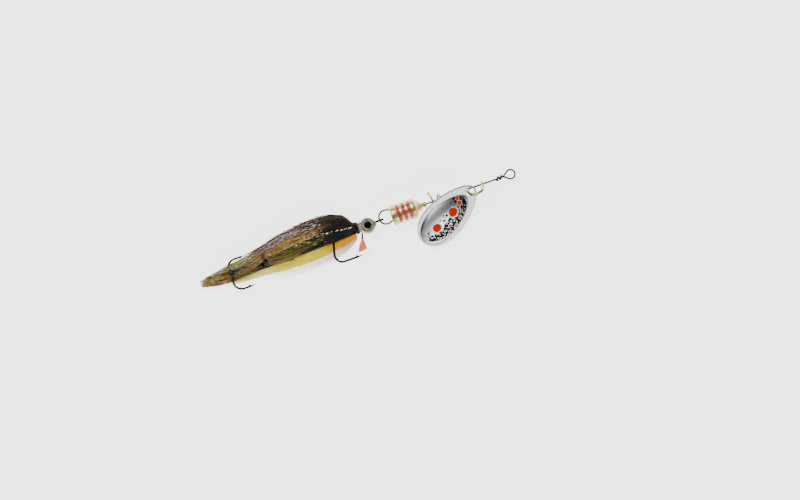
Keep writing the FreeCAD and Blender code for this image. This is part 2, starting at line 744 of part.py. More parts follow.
def make_tinsel(side):
    """A flat bright strand along the flank."""
    deep = BACK_DEPTH
    route = [
        (-10.02, 0.9, deep - 0.52),
        (-15.02, 1.6, deep + 0.43),
        (-21.02, 2.3, deep + 0.48),
        (-28.02, 2.6, deep - 0.12),
        (-36.02, 2.2, deep - 1.07),
    ]
    if side < 0:
        route = [(x, y + TINSEL_FAR_RISE, -deep - TINSEL_THICKNESS) for x, y, _ in route]
    rings = []
    for x, y, z in route:
        corner = Vector(x, y - TINSEL_WIDTH / 2, z - TINSEL_THICKNESS / 2)
        wide = Vector(0, TINSEL_WIDTH, 0)
        thick = Vector(0, 0, TINSEL_THICKNESS)
        rings.append(Part.makePolygon([corner, corner + wide, corner + wide + thick, corner + thick, corner]))
    return Part.makeLoft(rings, True, True)


def main():
    os.makedirs("parts", exist_ok=True)
    save("shaft_wire", make_shaft_wire())
    save("clevis", make_clevis())
    save("blade", make_blade())
    bearing_front_x = BEARING_REAR_X + BEARING_LENGTH
    save("clevis_bearing", barrel(bearing_front_x, BEARING_LENGTH, BEARING_R, BEARING_R * 0.75))
    save("tapered_coil", make_coil())
    save("rear_bead", make_rear_bead())
    save("weight_body", make_weight_body())
    save("groove_bands", make_groove_bands())
    save_streamer("front_hook", make_front_hook(0))
    save_streamer("head", make_head())
    for side, label in ((1, "left"), (-1, "right")):
        iris, pupil, lens = eye_pieces(side)
        save_streamer("iris_" + label, iris)
        save_streamer("pupil_" + label, pupil)
        save_streamer("eye_lens_" + label, lens)
    save_streamer("thread_collar", make_thread_collar())
    save_streamer("shank_lashing", make_shank_lashing())
    save_streamer("trailer_wire", make_trailer_wire(0))
    save_streamer("trailer_sleeve", make_trailer_sleeve())
    save_streamer("rear_treble", make_rear_treble(0))

    tools = [
        make_front_hook(SOFT_GAP),
        make_trailer_wire(SOFT_GAP),
        oval_sleeve(SOFT_GAP),
        lashing(SOFT_GAP),
    ]
    treble = make_rear_treble(SOFT_GAP)
    back = make_back_bundle()
    belly = make_belly_bundle()
    save_streamer("dressing_back", largest(cut_all(front_part(back), tools)))
    save_streamer("dressing_belly", largest(cut_all(front_part(belly), tools)))
    save_streamer("under_fringe", largest(cut_all(make_fringe_bundle(), tools)))
    save_streamer("dressing_tail", largest(tail_part(back).cut(treble)))
    save_streamer("tail_belly", largest(tail_part(belly).cut(treble)))
    save_streamer("tinsel_left", make_tinsel(1))
    save_streamer("tinsel_right", make_tinsel(-1))
    stem, fan = make_tuft()
    save_streamer("tuft_stem", stem)
    save_streamer("red_tuft", fan)


main()
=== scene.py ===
import math

import bmesh
import bpy
import numpy as np
from mathutils import Euler, Matrix, Vector


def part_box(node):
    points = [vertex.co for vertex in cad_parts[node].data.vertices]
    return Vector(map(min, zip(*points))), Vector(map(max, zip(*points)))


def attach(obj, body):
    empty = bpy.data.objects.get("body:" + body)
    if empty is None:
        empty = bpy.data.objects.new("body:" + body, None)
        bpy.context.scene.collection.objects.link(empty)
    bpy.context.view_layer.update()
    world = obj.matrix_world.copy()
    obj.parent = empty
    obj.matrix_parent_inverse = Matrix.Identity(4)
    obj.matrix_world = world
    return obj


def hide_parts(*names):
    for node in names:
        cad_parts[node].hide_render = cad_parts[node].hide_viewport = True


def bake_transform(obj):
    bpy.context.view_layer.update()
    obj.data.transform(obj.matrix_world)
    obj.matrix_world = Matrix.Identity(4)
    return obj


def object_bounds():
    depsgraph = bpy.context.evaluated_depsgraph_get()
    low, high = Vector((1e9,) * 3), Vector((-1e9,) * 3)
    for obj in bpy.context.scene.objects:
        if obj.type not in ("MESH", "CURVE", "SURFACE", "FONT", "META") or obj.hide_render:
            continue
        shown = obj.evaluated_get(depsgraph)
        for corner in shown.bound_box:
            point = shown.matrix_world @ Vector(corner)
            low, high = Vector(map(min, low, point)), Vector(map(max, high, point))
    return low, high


# An inline spinner with a dressed streamer, lying on a pale table and seen from above.
# The frame is in metres. Shapes below are worked out in millimetres and scaled by MM.
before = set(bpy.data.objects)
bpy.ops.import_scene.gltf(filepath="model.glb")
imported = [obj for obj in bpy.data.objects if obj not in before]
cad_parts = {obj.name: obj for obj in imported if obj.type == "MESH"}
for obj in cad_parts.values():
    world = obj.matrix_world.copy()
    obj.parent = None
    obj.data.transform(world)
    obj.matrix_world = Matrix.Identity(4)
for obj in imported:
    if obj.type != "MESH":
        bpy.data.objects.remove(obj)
cad_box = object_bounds()

MM = 0.001
rng = np.random.default_rng(41)

# ---- camera and table ----
LENS = 100.0
SENSOR = 36.0
VIEW_WIDTH = 294.4             # how much of the table the picture is wide
VIEW_TURN = -19.5              # the lure's wire rises to the right by this angle
VIEW_SHIFT = (12.3, -8.9)      # picture centre from the middle of the lure
TABLE_GLOW = 2.7               # the table's own light, for a pale ground

# ---- blade, as in the CAD ----
CLEVIS_LEAN = math.radians(52.0)
CLEVIS_HANG = (-16.8, 1.65)    # where the clevis arc holds the blade: x, height above the wire
BLADE_TURN = (27.6, 13.6, 23.6)    # degrees about X, Y and Z
BLADE_LENGTH = 27.8
BLADE_WIDTH = 16.9
BLADE_EGG = 0.22               # how much wider the rear half is than the front
BLADE_THICKNESS = 0.60
BLADE_HOLE = (-2.30, 1.65)     # hole centre along the blade, radius
BLADE_OFFSET = (-0.50, 0.52)   # where the clevis crosses the hole, from the hole's centre
DOME_LENGTH = 22.2
DOME_WIDTH = 12.9
DOME_HEIGHT = 2.1
DOME_RIM = 0.85
DOME_CENTRE_X = -BLADE_LENGTH + DOME_RIM + DOME_LENGTH / 2
# Red spots on the dome: the centre in the blade's own millimetres from its front end, then the radius.
BIG_SPOTS = [((-12.1, 0.55), 1.75), ((-20.4, 0.85), 1.6)]
SMALL_SPOTS = [
    ((-8.0, 0.9), 0.85), ((-7.4, 2.6), 0.65), ((-9.7, -1.9), 0.55), ((-11.6, -3.6), 0.60),
    ((-16.4, -2.3), 0.50), ((-14.6, -4.4), 0.42), ((-17.9, -4.3), 0.42), ((-22.6, -3.6), 0.38),
]

# ---- dressing ----
FLOOR_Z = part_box("weight_body")[0].z / MM
# Stations along each bundle: x, y low, y high, z low, z high.
BACK = [
    (-60.6, -1.6, 1.9, -1.7, 1.8), (-61.6, -1.8, 4.2, -2.5, 2.6), (-63.6, -1.9, 6.6, -3.3, 3.3),
    (-67.6, -1.95, 8.1, -3.7, 3.8), (-72.5, -2.0, 8.5, -3.7, 3.7), (-78.0, -2.1, 8.4, -3.7, 3.2),
    (-84.6, -2.5, 7.7, -3.7, 2.5), (-89.4, -2.7, 6.9, -3.7, 1.9), (-94.8, -2.9, 5.6, -3.7, 1.2),
    (-100.0, -3.0, 4.3, -3.7, 0.9), (-105.0, -3.2, 3.4, -3.7, 0.6), (-110.0, -3.1, 2.75, -3.6, 0.2),
    (-116.0, -2.5, 1.9, -3.5, -0.6), (-120.0, -1.7, 1.1, -3.3, -1.4), (-124.0, -1.1, 0.5, -3.2, -2.0),
]
BELLY = [
    (-60.9, -3.0, -1.4, -1.3, 0.9), (-63.5, -4.3, -1.5, -2.3, 0.7), (-67.5, -4.9, -1.5, -3.3, -0.1),
    (-70.5, -5.1, -1.6, -3.6, -0.7), (-74.0, -5.4, -1.7, -3.7, -0.5), (-79.0, -5.8, -1.9, -3.7, 0.6),
    (-88.0, -5.7, -2.1, -3.7, 0.8), (-98.0, -4.7, -2.2, -3.7, 0.2),
    (-108.0, -4.1, -2.3, -3.6, -0.8), (-112.0, -3.6, -2.3, -3.5, -1.4),
]
FRINGE = [
    (-61.5, -4.0, -2.5, -1.6, 0.6), (-66.0, -7.3, -4.2, -2.4, 0.4), (-73.0, -8.6, -5.0, -2.8, 0.2),
    (-81.0, -9.3, -5.2, -2.9, 0.0), (-92.0, -7.9, -5.0, -3.0, -0.5), (-104.0, -5.6, -3.8, -3.2, -1.5),
]


# ---- node helpers ----

class Shader:
    """A material's node tree, with short names for the nodes used here."""

    def __init__(self, name):
        self.material = bpy.data.materials.new(name)
        self.material.use_nodes = True
        self.tree = self.material.node_tree
        self.bsdf = self.tree.nodes["Principled BSDF"]

    def node(self, kind, **values):
        made = self.tree.nodes.new("ShaderNode" + kind)
        for key, value in values.items():
            setattr(made, key, value)
        return made

    def link(self, out, into):
        self.tree.links.new(out, into)

    def set(self, **values):
        for key, value in values.items():
            self.bsdf.inputs[key.replace("_", " ")].default_value = value

    def coords(self):
        return self.node("TexCoord").outputs["Object"]

    def noise(self, scale, detail=3.0, vector=None):
        made = self.node("TexNoise")
        made.inputs["Scale"].default_value = scale
        made.inputs["Detail"].default_value = detail
        self.link(vector or self.coords(), made.inputs["Vector"])
        return made.outputs["Fac"]

    def stretch(self, scale, vector=None):
        made = self.node("Mapping")
        made.inputs["Scale"].default_value = scale
        self.link(vector or self.coords(), made.inputs["Vector"])
        return made.outputs["Vector"]

    def ramp(self, factor, *stops):
        made = self.node("ValToRGB")
        while len(made.color_ramp.elements) < len(stops):
            made.color_ramp.elements.new(0.5)
        for element, (place, colour) in zip(made.color_ramp.elements, stops):
            element.position = place
            element.color = (*colour, 1.0)
        self.link(factor, made.inputs["Fac"])
        return made.outputs["Color"]

    def math(self, operation, a, b=0.0, clamp=False):
        made = self.node("Math", operation=operation, use_clamp=clamp)
        for socket, value in zip(made.inputs, (a, b)):
            if isinstance(value, (int, float)):
                socket.default_value = value
            else:
                self.link(value, socket)
        return made.outputs["Value"]

    def vector(self, operation, a, b=None, result="Vector"):
        made = self.node("VectorMath", operation=operation)
        self.link(a, made.inputs[0])
        if b is not None:
            made.inputs[1].default_value = b
        return made.outputs[result]

    def fade(self, value, low, high):
        """0 at low and 1 at high, with a smooth step between."""
        made = self.node("MapRange", interpolation_type="SMOOTHSTEP")
        made.inputs["From Min"].default_value = low
        made.inputs["From Max"].default_value = high
        self.link(value, made.inputs["Value"])
        return made.outputs["Result"]

    def greatest(self, masks):
        most = masks[0]
        for mask in masks[1:]:
            most = self.math("MAXIMUM", most, mask)
        return most

    def mix(self, factor, a, b, blend="MIX"):
        made = self.node("Mix", data_type="RGBA", blend_type=blend)
        for socket, value in zip((made.inputs[0], made.inputs[6], made.inputs[7]), (factor, a, b)):
            if isinstance(value, (int, float)):
                socket.default_value = value
            elif isinstance(value, tuple):
                socket.default_value = (*value, 1.0)
            else:
                self.link(value, socket)
        return made.outputs[2]

    def colour(self, out):
        self.link(out, self.bsdf.inputs["Base Color"])

    def roughness(self, factor, low, high):
        made = self.node("MapRange")
        made.inputs["To Min"].default_value = low
        made.inputs["To Max"].default_value = high
        self.link(factor, made.inputs["Value"])
        self.link(made.outputs["Result"], self.bsdf.inputs["Roughness"])

    def bump(self, height, distance, strength=0.5):
        made = self.node("Bump")
        made.inputs["Distance"].default_value = distance
        made.inputs["Strength"].default_value = strength
        self.link(height, made.inputs["Height"])
        self.link(made.outputs["Normal"], self.bsdf.inputs["Normal"])


# ---- mesh helpers ----

def new_object(name, mesh, material, smooth=True):
    thing = bpy.data.objects.new(name, mesh)
    bpy.context.scene.collection.objects.link(thing)
    mesh.materials.append(material)
    mesh.polygons.foreach_set("use_smooth", [smooth] * len(mesh.polygons))
    return thing


def array_mesh(name, points, quads, triangles=None):
    """A mesh from numpy arrays; points are in millimetres."""
    mesh = bpy.data.meshes.new(name)
    faces = [np.asarray(quads, np.int32).reshape(-1, 4)]
    if triangles is not None:
        faces.append(np.asarray(triangles, np.int32).reshape(-1, 3))
    corners = np.concatenate([part.ravel() for part in faces])
    sizes = np.concatenate([np.full(len(part), part.shape[1], np.int32) for part in faces])
    starts = np.concatenate([[0], np.cumsum(sizes)[:-1]]).astype(np.int32)
    mesh.vertices.add(len(points))
    mesh.vertices.foreach_set("co", (np.asarray(points, np.float64) * MM).astype(np.float32).ravel())
    mesh.loops.add(len(corners))
    mesh.loops.foreach_set("vertex_index", corners)
    mesh.polygons.add(len(sizes))
    mesh.polygons.foreach_set("loop_start", starts)
    mesh.update(calc_edges=True)
    return mesh


def grid_quads(rows, columns, closed):
    """Faces of a grid of points; closed joins the last column to the first."""
    row = np.arange(rows - 1)[:, None]
    column = np.arange(columns if closed else columns - 1)[None, :]
    after = (column + 1) % columns
    low = row * columns
    high = (row + 1) * columns
    return np.stack([low + column, low + after, high + after, high + column], axis=-1).reshape(-1, 4)


def lathe(name, profile, material, segments=144):
    """A closed turned piece from (x, radius) points about the wire's axis."""
    profile = np.array(profile)
    angle = np.linspace(0, 2 * np.pi, segments, endpoint=False)
    points = np.zeros((len(profile), segments, 3))
    points[:, :, 0] = profile[:, 0:1]
    points[:, :, 1] = profile[:, 1:2] * np.cos(angle)
    points[:, :, 2] = profile[:, 1:2] * np.sin(angle)
    rows = np.concatenate([points, points[:1]])
    quads = grid_quads(len(rows), segments, True) % (len(profile) * segments)
    return new_object(name, array_mesh(name, points.reshape(-1, 3), quads), material)


def arc_points(centre, radius, start, end, count):
    angles = np.radians(np.linspace(start, end, count))
    return [(centre[0] + radius * math.cos(a), centre[1] + radius * math.sin(a)) for a in angles]


def smooth_steps(value, low, high):
    share = np.clip((value - low) / (high - low), 0, 1)
    return share * share * (3 - 2 * share)


# ---- metals ----

def drawn_wire_material():
    s = Shader("steel wire")
    lines = s.noise(60.0, 4.0, s.stretch((30.0, 900.0, 900.0)))
    s.colour(s.ramp(lines, (0.3, (0.030, 0.030, 0.033)), (0.7, (0.085, 0.085, 0.090))))
    s.set(Metallic=0.8, Specular_Tint=(0.12, 0.12, 0.12, 1.0))
    s.roughness(lines, 0.42, 0.58)
    s.bump(lines, 0.00002, 0.4)
    return s.material


def brass_material(name, dark, light, rough, patch=900.0):
    """Polished or satin brass with a faint tarnish and fine turning marks."""
    s = Shader(name)
    tarnish = s.noise(patch, 5.0)
    marks = s.noise(900.0, 2.0, s.stretch((12.0, 0.8, 0.8)))
    s.colour(s.ramp(tarnish, (0.30, dark), (0.68, light)))
    s.set(Metallic=1.0)
    s.roughness(marks, *rough)
    s.bump(marks, 0.00003, 0.35)
    return s.material


def hook_material():
    """Black nickel, with a little brown where the plating is thin."""
    s = Shader("black nickel")
    wear = s.noise(500.0, 4.0)
    plated, thin, brown = (0.022, 0.024, 0.026), (0.050, 0.050, 0.050), (0.10, 0.080, 0.055)
    s.colour(s.ramp(wear, (0.35, plated), (0.62, thin), (0.80, brown)))
    s.set(Metallic=1.0, Specular_Tint=(0.15, 0.15, 0.15, 1.0))
    s.roughness(s.noise(2200.0, 2.0), 0.20, 0.38)
    s.bump(s.noise(2500.0), 0.00001, 0.3)
    return s.material


def lacquer_material():
    s = Shader("red lacquer")
    coat = s.noise(1500.0, 3.0)
    s.colour(s.ramp(coat, (0.3, (0.42, 0.018, 0.008)), (0.7, (0.62, 0.045, 0.018))))
    s.set(Coat_Weight=0.5, Coat_Roughness=0.12)
    s.roughness(coat, 0.28, 0.45)
    s.bump(coat, 0.00002, 0.4)
    return s.material


# ---- blade ----

def egg_point(length, width, centre_x, angle):
    along = np.cos(angle)
    half = width / 2 * 0.978 * (1 - BLADE_EGG * along)
    return centre_x + length / 2 * along, half * np.sin(angle)


def blade_matrix():
    """The blade's own frame: +X to its front end, +Z out of the dome, origin at the front end."""
    roll, pitch, yaw = (math.radians(angle) for angle in BLADE_TURN)
    turn = Matrix.Rotation(roll, 4, "X") @ Matrix.Rotation(pitch, 4, "Y") @ Matrix.Rotation(yaw, 4, "Z")
    x, height = CLEVIS_HANG
    hang = Vector((x, -height * math.cos(CLEVIS_LEAN), height * math.sin(CLEVIS_LEAN)))
    crossing = Vector((BLADE_HOLE[0] + BLADE_OFFSET[0], BLADE_OFFSET[1], 0))
    return Matrix.Translation(hang - turn @ crossing) @ turn


def blade_rows():
    """Rows of (dome share, rim share, height) from the middle of the blade out to its edge."""
    rows = []
    for share in np.linspace(0.02, 0.95, 26):
        rows.append((share, 0.0, DOME_HEIGHT * (1 - share ** 2.6)))
    for share in (0.97, 0.985, 0.997, 1.007):
        rows.append((share, 0.0, max(DOME_HEIGHT * (1 - min(share, 1.0) ** 2.6) - 0.02, -0.05)))
    rows.append((1.02, 0.0, -0.03))
    for rim in (0.12, 0.35, 0.62, 0.86):
        rows.append((1.02, rim, 0.0))
    for rim, drop in ((0.955, 0.02), (0.985, 0.08), (1.0, 0.18)):
        rows.append((1.02, rim, -drop))
    return rows


def make_blade(material):
    count = 220
    angle = np.linspace(0, 2 * np.pi, count, endpoint=False)
    edge_x, edge_y = egg_point(BLADE_LENGTH, BLADE_WIDTH, -BLADE_LENGTH / 2, angle)
    dome_x, dome_y = egg_point(DOME_LENGTH, DOME_WIDTH, DOME_CENTRE_X, angle)
    top = []
    for share, rim, height in blade_rows():
        x = DOME_CENTRE_X + (dome_x - DOME_CENTRE_X) * share
        y = dome_y * share
        x = x + (edge_x - x) * rim
        y = y + (edge_y - y) * rim
        top.append(np.stack([x, y, np.full(count, height + BLADE_THICKNESS / 2)], axis=-1))
    top = np.array(top)
    under = top[::-1].copy()
    under[:, :, 2] -= BLADE_THICKNESS
    edge_drop = under[:8, :, 2] + BLADE_THICKNESS / 2
    under[:8, :, 2] = -BLADE_THICKNESS / 2 - edge_drop * (edge_drop < 0)
    rings = np.concatenate([top, under])
    loop = np.arange(count)
    caps = [loop, loop[::-1] + (len(rings) - 1) * count]
    mesh = bpy.data.meshes.new("blade_skin")
    faces = grid_quads(len(rings), count, True).tolist() + [cap.tolist() for cap in caps]
    mesh.from_pydata([tuple(point) for point in rings.reshape(-1, 3)], [], faces)
    mesh.update()
    blade = new_object("blade_skin", mesh, material)
    fix_normals(blade)
    punch_hole(blade)
    add_vector_attribute(blade.data, "blade_mm")
    blade.data.transform(Matrix.Scale(MM, 4) @ blade_matrix())
    return blade


def fix_normals(thing):
    work = bmesh.new()
    work.from_mesh(thing.data)
    bmesh.ops.recalc_face_normals(work, faces=work.faces)
    work.to_mesh(thing.data)
    work.free()


def punch_hole(blade):
    """Cut the clevis hole, with a small rounded lip."""
    hole_x, radius = BLADE_HOLE
    bpy.ops.mesh.primitive_cylinder_add(vertices=96, radius=radius, depth=6, location=(hole_x, 0, 0))
    cutter = bpy.context.active_object
    cut = blade.modifiers.new("hole", "BOOLEAN")
    cut.object = cutter
    cut.operation = "DIFFERENCE"
    cut.solver = "EXACT"
    lip = blade.modifiers.new("lip", "BEVEL")
    lip.width = 0.06
    lip.segments = 2
    lip.limit_method = "ANGLE"
    lip.angle_limit = math.radians(55)
    apply_modifiers(blade)
    bpy.data.objects.remove(cutter)


def apply_modifiers(thing):
    graph = bpy.context.evaluated_depsgraph_get()
    done = bpy.data.meshes.new_from_object(thing.evaluated_get(graph))
    thing.modifiers.clear()
    thing.data = done
    done.polygons.foreach_set("use_smooth", [True] * len(done.polygons))


def add_vector_attribute(mesh, name):
    """Keep each point's place in the piece's own millimetres, for its paint."""
    places = np.zeros(len(mesh.vertices) * 3, np.float32)
    mesh.vertices.foreach_get("co", places)
    attribute = mesh.attributes.new(name, "FLOAT_VECTOR", "POINT")
    attribute.data.foreach_set("vector", places)


def spot(s, place, centre, radius, edge=0.12):
    """1 inside a round spot of paint, 0 outside."""
    away = s.vector("DISTANCE", place, (*centre, 0.0), "Value")
    return s.fade(away, radius + edge / 2, radius - edge / 2)


def blade_material():
    """A satin silver rim with painted shade on its edges, and a dome with painted reflection and shade that
    darkens it to its front, with red spots and black flecks.
    """
    s = Shader("silver blade")
    attribute = s.node("Attribute", attribute_name="blade_mm")
    place = s.vector("MULTIPLY", attribute.outputs["Vector"], (1.0, 1.0, 0.0))
    where = s.node("SeparateXYZ")
    s.link(attribute.outputs["Vector"], where.inputs[0])
    x, y, z = (where.outputs[axis] for axis in "XYZ")
    face = BLADE_THICKNESS / 2
    brush = s.noise(3.0, 4.0, s.stretch((0.5, 6.0, 1.0), place))
    silver = s.ramp(brush, (0.3, (0.29, 0.30, 0.305)), (0.7, (0.40, 0.41, 0.41)))
    on_dome = s.math("MULTIPLY", dome_mask(s, place, 1.01, 0.97), s.math("GREATER_THAN", z, face - 0.01))
    # Painted reflection and shade: the dome's colour runs from near white at its rear to dark grey at its
    # front.
    along = s.math("ADD", s.math("MULTIPLY", x, 0.055), 1.16)
    painted_dome_shading = s.math("ADD", along, s.math("MULTIPLY", y, -0.012), clamp=True)
    dome = s.ramp(painted_dome_shading, (0.05, (0.90, 0.91, 0.90)), (0.50, (0.52, 0.53, 0.54)), (0.98, (0.07, 0.075, 0.08)))
    colour = s.mix(on_dome, silver, s.mix(s.math("MULTIPLY", brush, 0.35), dome, (0.30, 0.31, 0.32)))
    # Painted shade: dark grey on the blade's edge wall, the hole's rim and the foot of the dome.
    edge = s.math("MULTIPLY", s.math("GREATER_THAN", z, 0.0), s.math("LESS_THAN", z, face - 0.012))
    colour = s.mix(edge, colour, (0.10, 0.11, 0.11))
    front = s.math("ADD", s.math("MULTIPLY", x, 0.10), 1.25, clamp=True)
    thick = s.math("ADD", s.math("MULTIPLY", y, -0.17), 0.52)
    thick = s.math("ADD", thick, front, clamp=True)
    flecks = s.math("MULTIPLY", flecks_mask(s, place, thick), on_dome)
    colour = s.mix(flecks, colour, (0.006, 0.009, 0.008))
    reds = []
    for spots, ring, pale in ((BIG_SPOTS, 0.50, (0.62, 0.64, 0.60)), (SMALL_SPOTS, 0.20, (0.62, 0.50, 0.50))):
        for centre, radius in spots:
            colour = s.mix(s.math("MULTIPLY", spot(s, place, centre, radius + ring), on_dome), colour, pale)
            reds.append(s.math("MULTIPLY", spot(s, place, centre, radius), on_dome))
    red = s.greatest(reds)
    paint = s.mix(s.noise(2.0, 2.0, place), (0.46, 0.016, 0.004), (0.60, 0.028, 0.008))
    s.colour(s.mix(red, colour, paint))
    painted = s.math("MAXIMUM", red, flecks)
    bare = s.math("SUBTRACT", 1.0, painted, clamp=True)
    s.link(bare, s.bsdf.inputs["Metallic"])
    s.link(s.math("MULTIPLY", bare, 0.5), s.bsdf.inputs["Specular IOR Level"])
    satin = s.math("MAXIMUM", brush, s.math("MULTIPLY", on_dome, 0.85))
    s.roughness(s.math("MAXIMUM", satin, painted), 0.26, 0.46)
    s.bump(s.math("ADD", s.math("MULTIPLY", brush, 0.25), painted), 0.00003, 0.5)
    return s.material


def dome_mask(s, place, outer, inner):
    """1 on the dome and 0 outside it, fading between two shares of its outline."""
    offset = s.vector("SUBTRACT", place, (DOME_CENTRE_X, 0.0, 0.0))
    scaled = s.vector("DIVIDE", offset, (DOME_LENGTH / 2, DOME_WIDTH / 2, 1.0))
    return s.fade(s.vector("LENGTH", scaled, result="Value"), outer, inner)


def flecks_mask(s, place, thick):
    """Small ragged flecks; thick is how closely they lie, 0 to 1."""
    size = 0.50
    found = []
    for scale in (0.95, 1.35):
        cells = s.node("TexVoronoi", feature="F1", voronoi_dimensions="2D")
        cells.inputs["Scale"].default_value = scale
        s.link(place, cells.inputs["Vector"])
        wanted = s.node("SeparateColor")
        s.link(cells.outputs["Color"], wanted.inputs["Color"])
        chosen = s.math("LESS_THAN", wanted.outputs["Red"], thick)
        ragged = s.math("MULTIPLY", s.math("SUBTRACT", s.noise(3.2, 2.0, place), 0.5), 0.6)
        near = s.math("LESS_THAN", s.math("ADD", cells.outputs["Distance"], ragged), size)
        found.append(s.math("MULTIPLY", chosen, near))
    inside = dome_mask(s, place, 0.96, 0.90)
    return s.math("MULTIPLY", s.greatest(found), inside)


# ---- weight body ----

def make_weight_body(material):
    """The body turned with soft ridges between its grooves, and a hollow rear."""
    low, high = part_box("weight_body")
    tip, rear, radius = high.x / MM, low.x / MM, high.y / MM
    bands_low, bands_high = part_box("groove_bands")
    band_thickness = 0.12
    groove_r = bands_high.y / MM - band_thickness
    pitch, width = 2.13, 1.0
    first = bands_high.x / MM - width / 2
    ridge_r = 0.22
    bore = 0.39
    cone_end = tip - 2.75
    profile = [(tip, bore), (tip, 1.0)]
    profile += arc_points((tip - 0.15, 1.0), 0.15, 0, 60, 4)
    profile += [(tip - 1.2, 1.95), (tip - 2.2, 2.72)]
    profile += arc_points((cone_end - 0.75, radius - 1.0), 1.0, 42, 90, 9)
    for index in range(3):
        middle = first - pitch * index
        front, back = middle + width / 2, middle - width / 2
        profile += arc_points((front + ridge_r, radius - 0.24), ridge_r, 90, 172, 6)
        profile += [(front, groove_r), (back, groove_r)]
        profile += arc_points((back - ridge_r, radius - 0.24), ridge_r, 8, 90, 6)
        land = pitch - width if index < 2 else 1.2
        profile += [(back - land * 0.5, radius)]
    profile += arc_points((rear + 0.7, radius - 0.7), 0.7, 90, 180, 10)
    profile += arc_points((rear + 0.12, 3.24), 0.12, 180, 260, 4)
    for depth, hollow in ((1.0, 3.05), (2.2, 2.6), (3.4, 2.0), (4.2, 1.1), (4.6, bore)):
        profile.append((rear + depth, hollow))
    body = lathe("weight_body_skin", profile, material)
    fix_normals(body)
    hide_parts("weight_body")
    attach(body, "weight")


# ---- fibres ----

def strand_mesh(name, paths, widths, colours, material, flat=1.0, twist=0.0):
    """Many thin strands as one mesh. paths is (strands, steps, 3) in millimetres.

    Each strand is a three-sided tube. With flat below 1 it is a four-sided ribbon, and twist
    turns it along its length, in radians per step.
    """
    strands, steps, _ = paths.shape
    sides = 3 if flat == 1.0 else 4
    tangent = np.gradient(paths, axis=1)
    tangent /= np.linalg.norm(tangent, axis=2, keepdims=True) + 1e-9
    up = np.array([0.0, 0.0, 1.0])
    across = np.cross(tangent, up)
    across /= np.linalg.norm(across, axis=2, keepdims=True) + 1e-9
    other = np.cross(tangent, across)
    start = rng.uniform(0, 2 * np.pi, (strands, 1)) + twist * np.arange(steps)
    rings = []
    for side in range(sides):
        base = 2 * np.pi * side / sides
        if flat == 1.0:
            local_a, local_b = np.cos(base + start), np.sin(base + start)
        else:
            local = np.array([np.cos(base + np.pi / 4), np.sin(base + np.pi / 4) * flat])
            local_a = local[0] * np.cos(start) - local[1] * np.sin(start)
            local_b = local[0] * np.sin(start) + local[1] * np.cos(start)
        offset = across * local_a[..., None] + other * local_b[..., None]
        rings.append(paths + offset * widths[..., None] / 2)
    points = np.stack(rings, axis=2)
    first = (np.arange(strands) * steps * sides)[:, None, None]
    quads = (grid_quads(steps, sides, True)[None] + first).reshape(-1, 4)
    ends = []
    for ring in (0, steps - 1):
        corners = np.arange(sides) + first[:, 0] + ring * sides
        ends.append(corners[:, ::-1] if ring == 0 else corners)
    ends = np.concatenate(ends)
    if sides == 4:
        quads, ends = np.concatenate([quads, ends]), None
    mesh = array_mesh(name, points.reshape(-1, 3), quads, ends)
    paint = mesh.color_attributes.new("fibre", "FLOAT_COLOR", "POINT")
    tint = np.ones((strands, steps, sides, 4), np.float32)
    tint[..., :3] = np.clip(colours, 0, 1)[:, :, None, :]
    paint.data.foreach_set("color", tint.ravel())
    return new_object(name, mesh, material, smooth=flat == 1.0)


def fibre_material(name, rough=0.45, metal=0.0, clear=0.0, shade=0.45, painted_glow=0.0):
    """Fibre that takes its colour strand by strand, with a fine streak along it."""
    s = Shader(name)
    tint = s.node("Attribute", attribute_name="fibre")
    streak = s.noise(1500.0, 2.0, s.stretch((0.25, 1.0, 1.0)))
    dark = s.mix(shade, tint.outputs["Color"], (0.0, 0.0, 0.0))
    s.colour(s.mix(streak, dark, tint.outputs["Color"]))
    s.set(Metallic=metal, Specular_IOR_Level=0.35, Subsurface_Weight=clear, Subsurface_Scale=0.0006)
    # Painted light: the fibre gives off a faint light of its own colour, standing in for light passing
    # through it.
    if painted_glow:
        s.link(tint.outputs["Color"], s.bsdf.inputs["Emission Color"])
        s.set(Emission_Strength=painted_glow)
    s.roughness(streak, rough - 0.08, rough + 0.10)
    return s.material


def envelope(stations, x):
    """Middle and half sizes of a bundle at x, from (x, y low, y high, z low, z high) stations."""
    table = np.array(stations)[::-1]
    y_low, y_high, z_low, z_high = (np.interp(x, table[:, 0], table[:, column]) for column in range(1, 5))
    return (y_low + y_high) / 2, (y_high - y_low) / 2, (z_low + z_high) / 2, (z_high - z_low) / 2


def bundle_paths(stations, count, steps, root_x, ends, disc, crimp=0.10, flare=0.25):
    """Strands that fill a bundle's envelope from the binding back to each one's own end."""
    across, deep = disc
    share = np.linspace(0, 1, steps)
    x = root_x[:, None] + (ends - root_x)[:, None] * share
    y_mid, y_half, z_mid, z_half = envelope(stations, x)
    y = y_mid + y_half * across[:, None]
    z = z_mid + z_half * deep[:, None]
    phase = rng.uniform(0, 2 * np.pi, (count, 4))
    wave = 2 * np.pi * x / each(2.2, 4.2, count)
    slow = 2 * np.pi * x / each(14.0, 26.0, count)
    grow = np.clip(share * 3, 0, 1)
    size = crimp * grow * each(0.4, 1.5, count)
    y = y + size * np.sin(wave + phase[:, 0:1]) + 3.0 * size * np.sin(slow + phase[:, 1:2])
    z = z + size * np.cos(wave + phase[:, 2:3]) + 2.0 * size * np.sin(slow + phase[:, 3:4])
    stray = flare * share ** 3
    y = y + stray * rng.normal(0, 1, (count, 1))
    z = z + 0.6 * stray * rng.normal(0, 1, (count, 1))
    return np.stack([x, y, np.clip(z, FLOOR_Z + 0.08, None)], axis=-1)


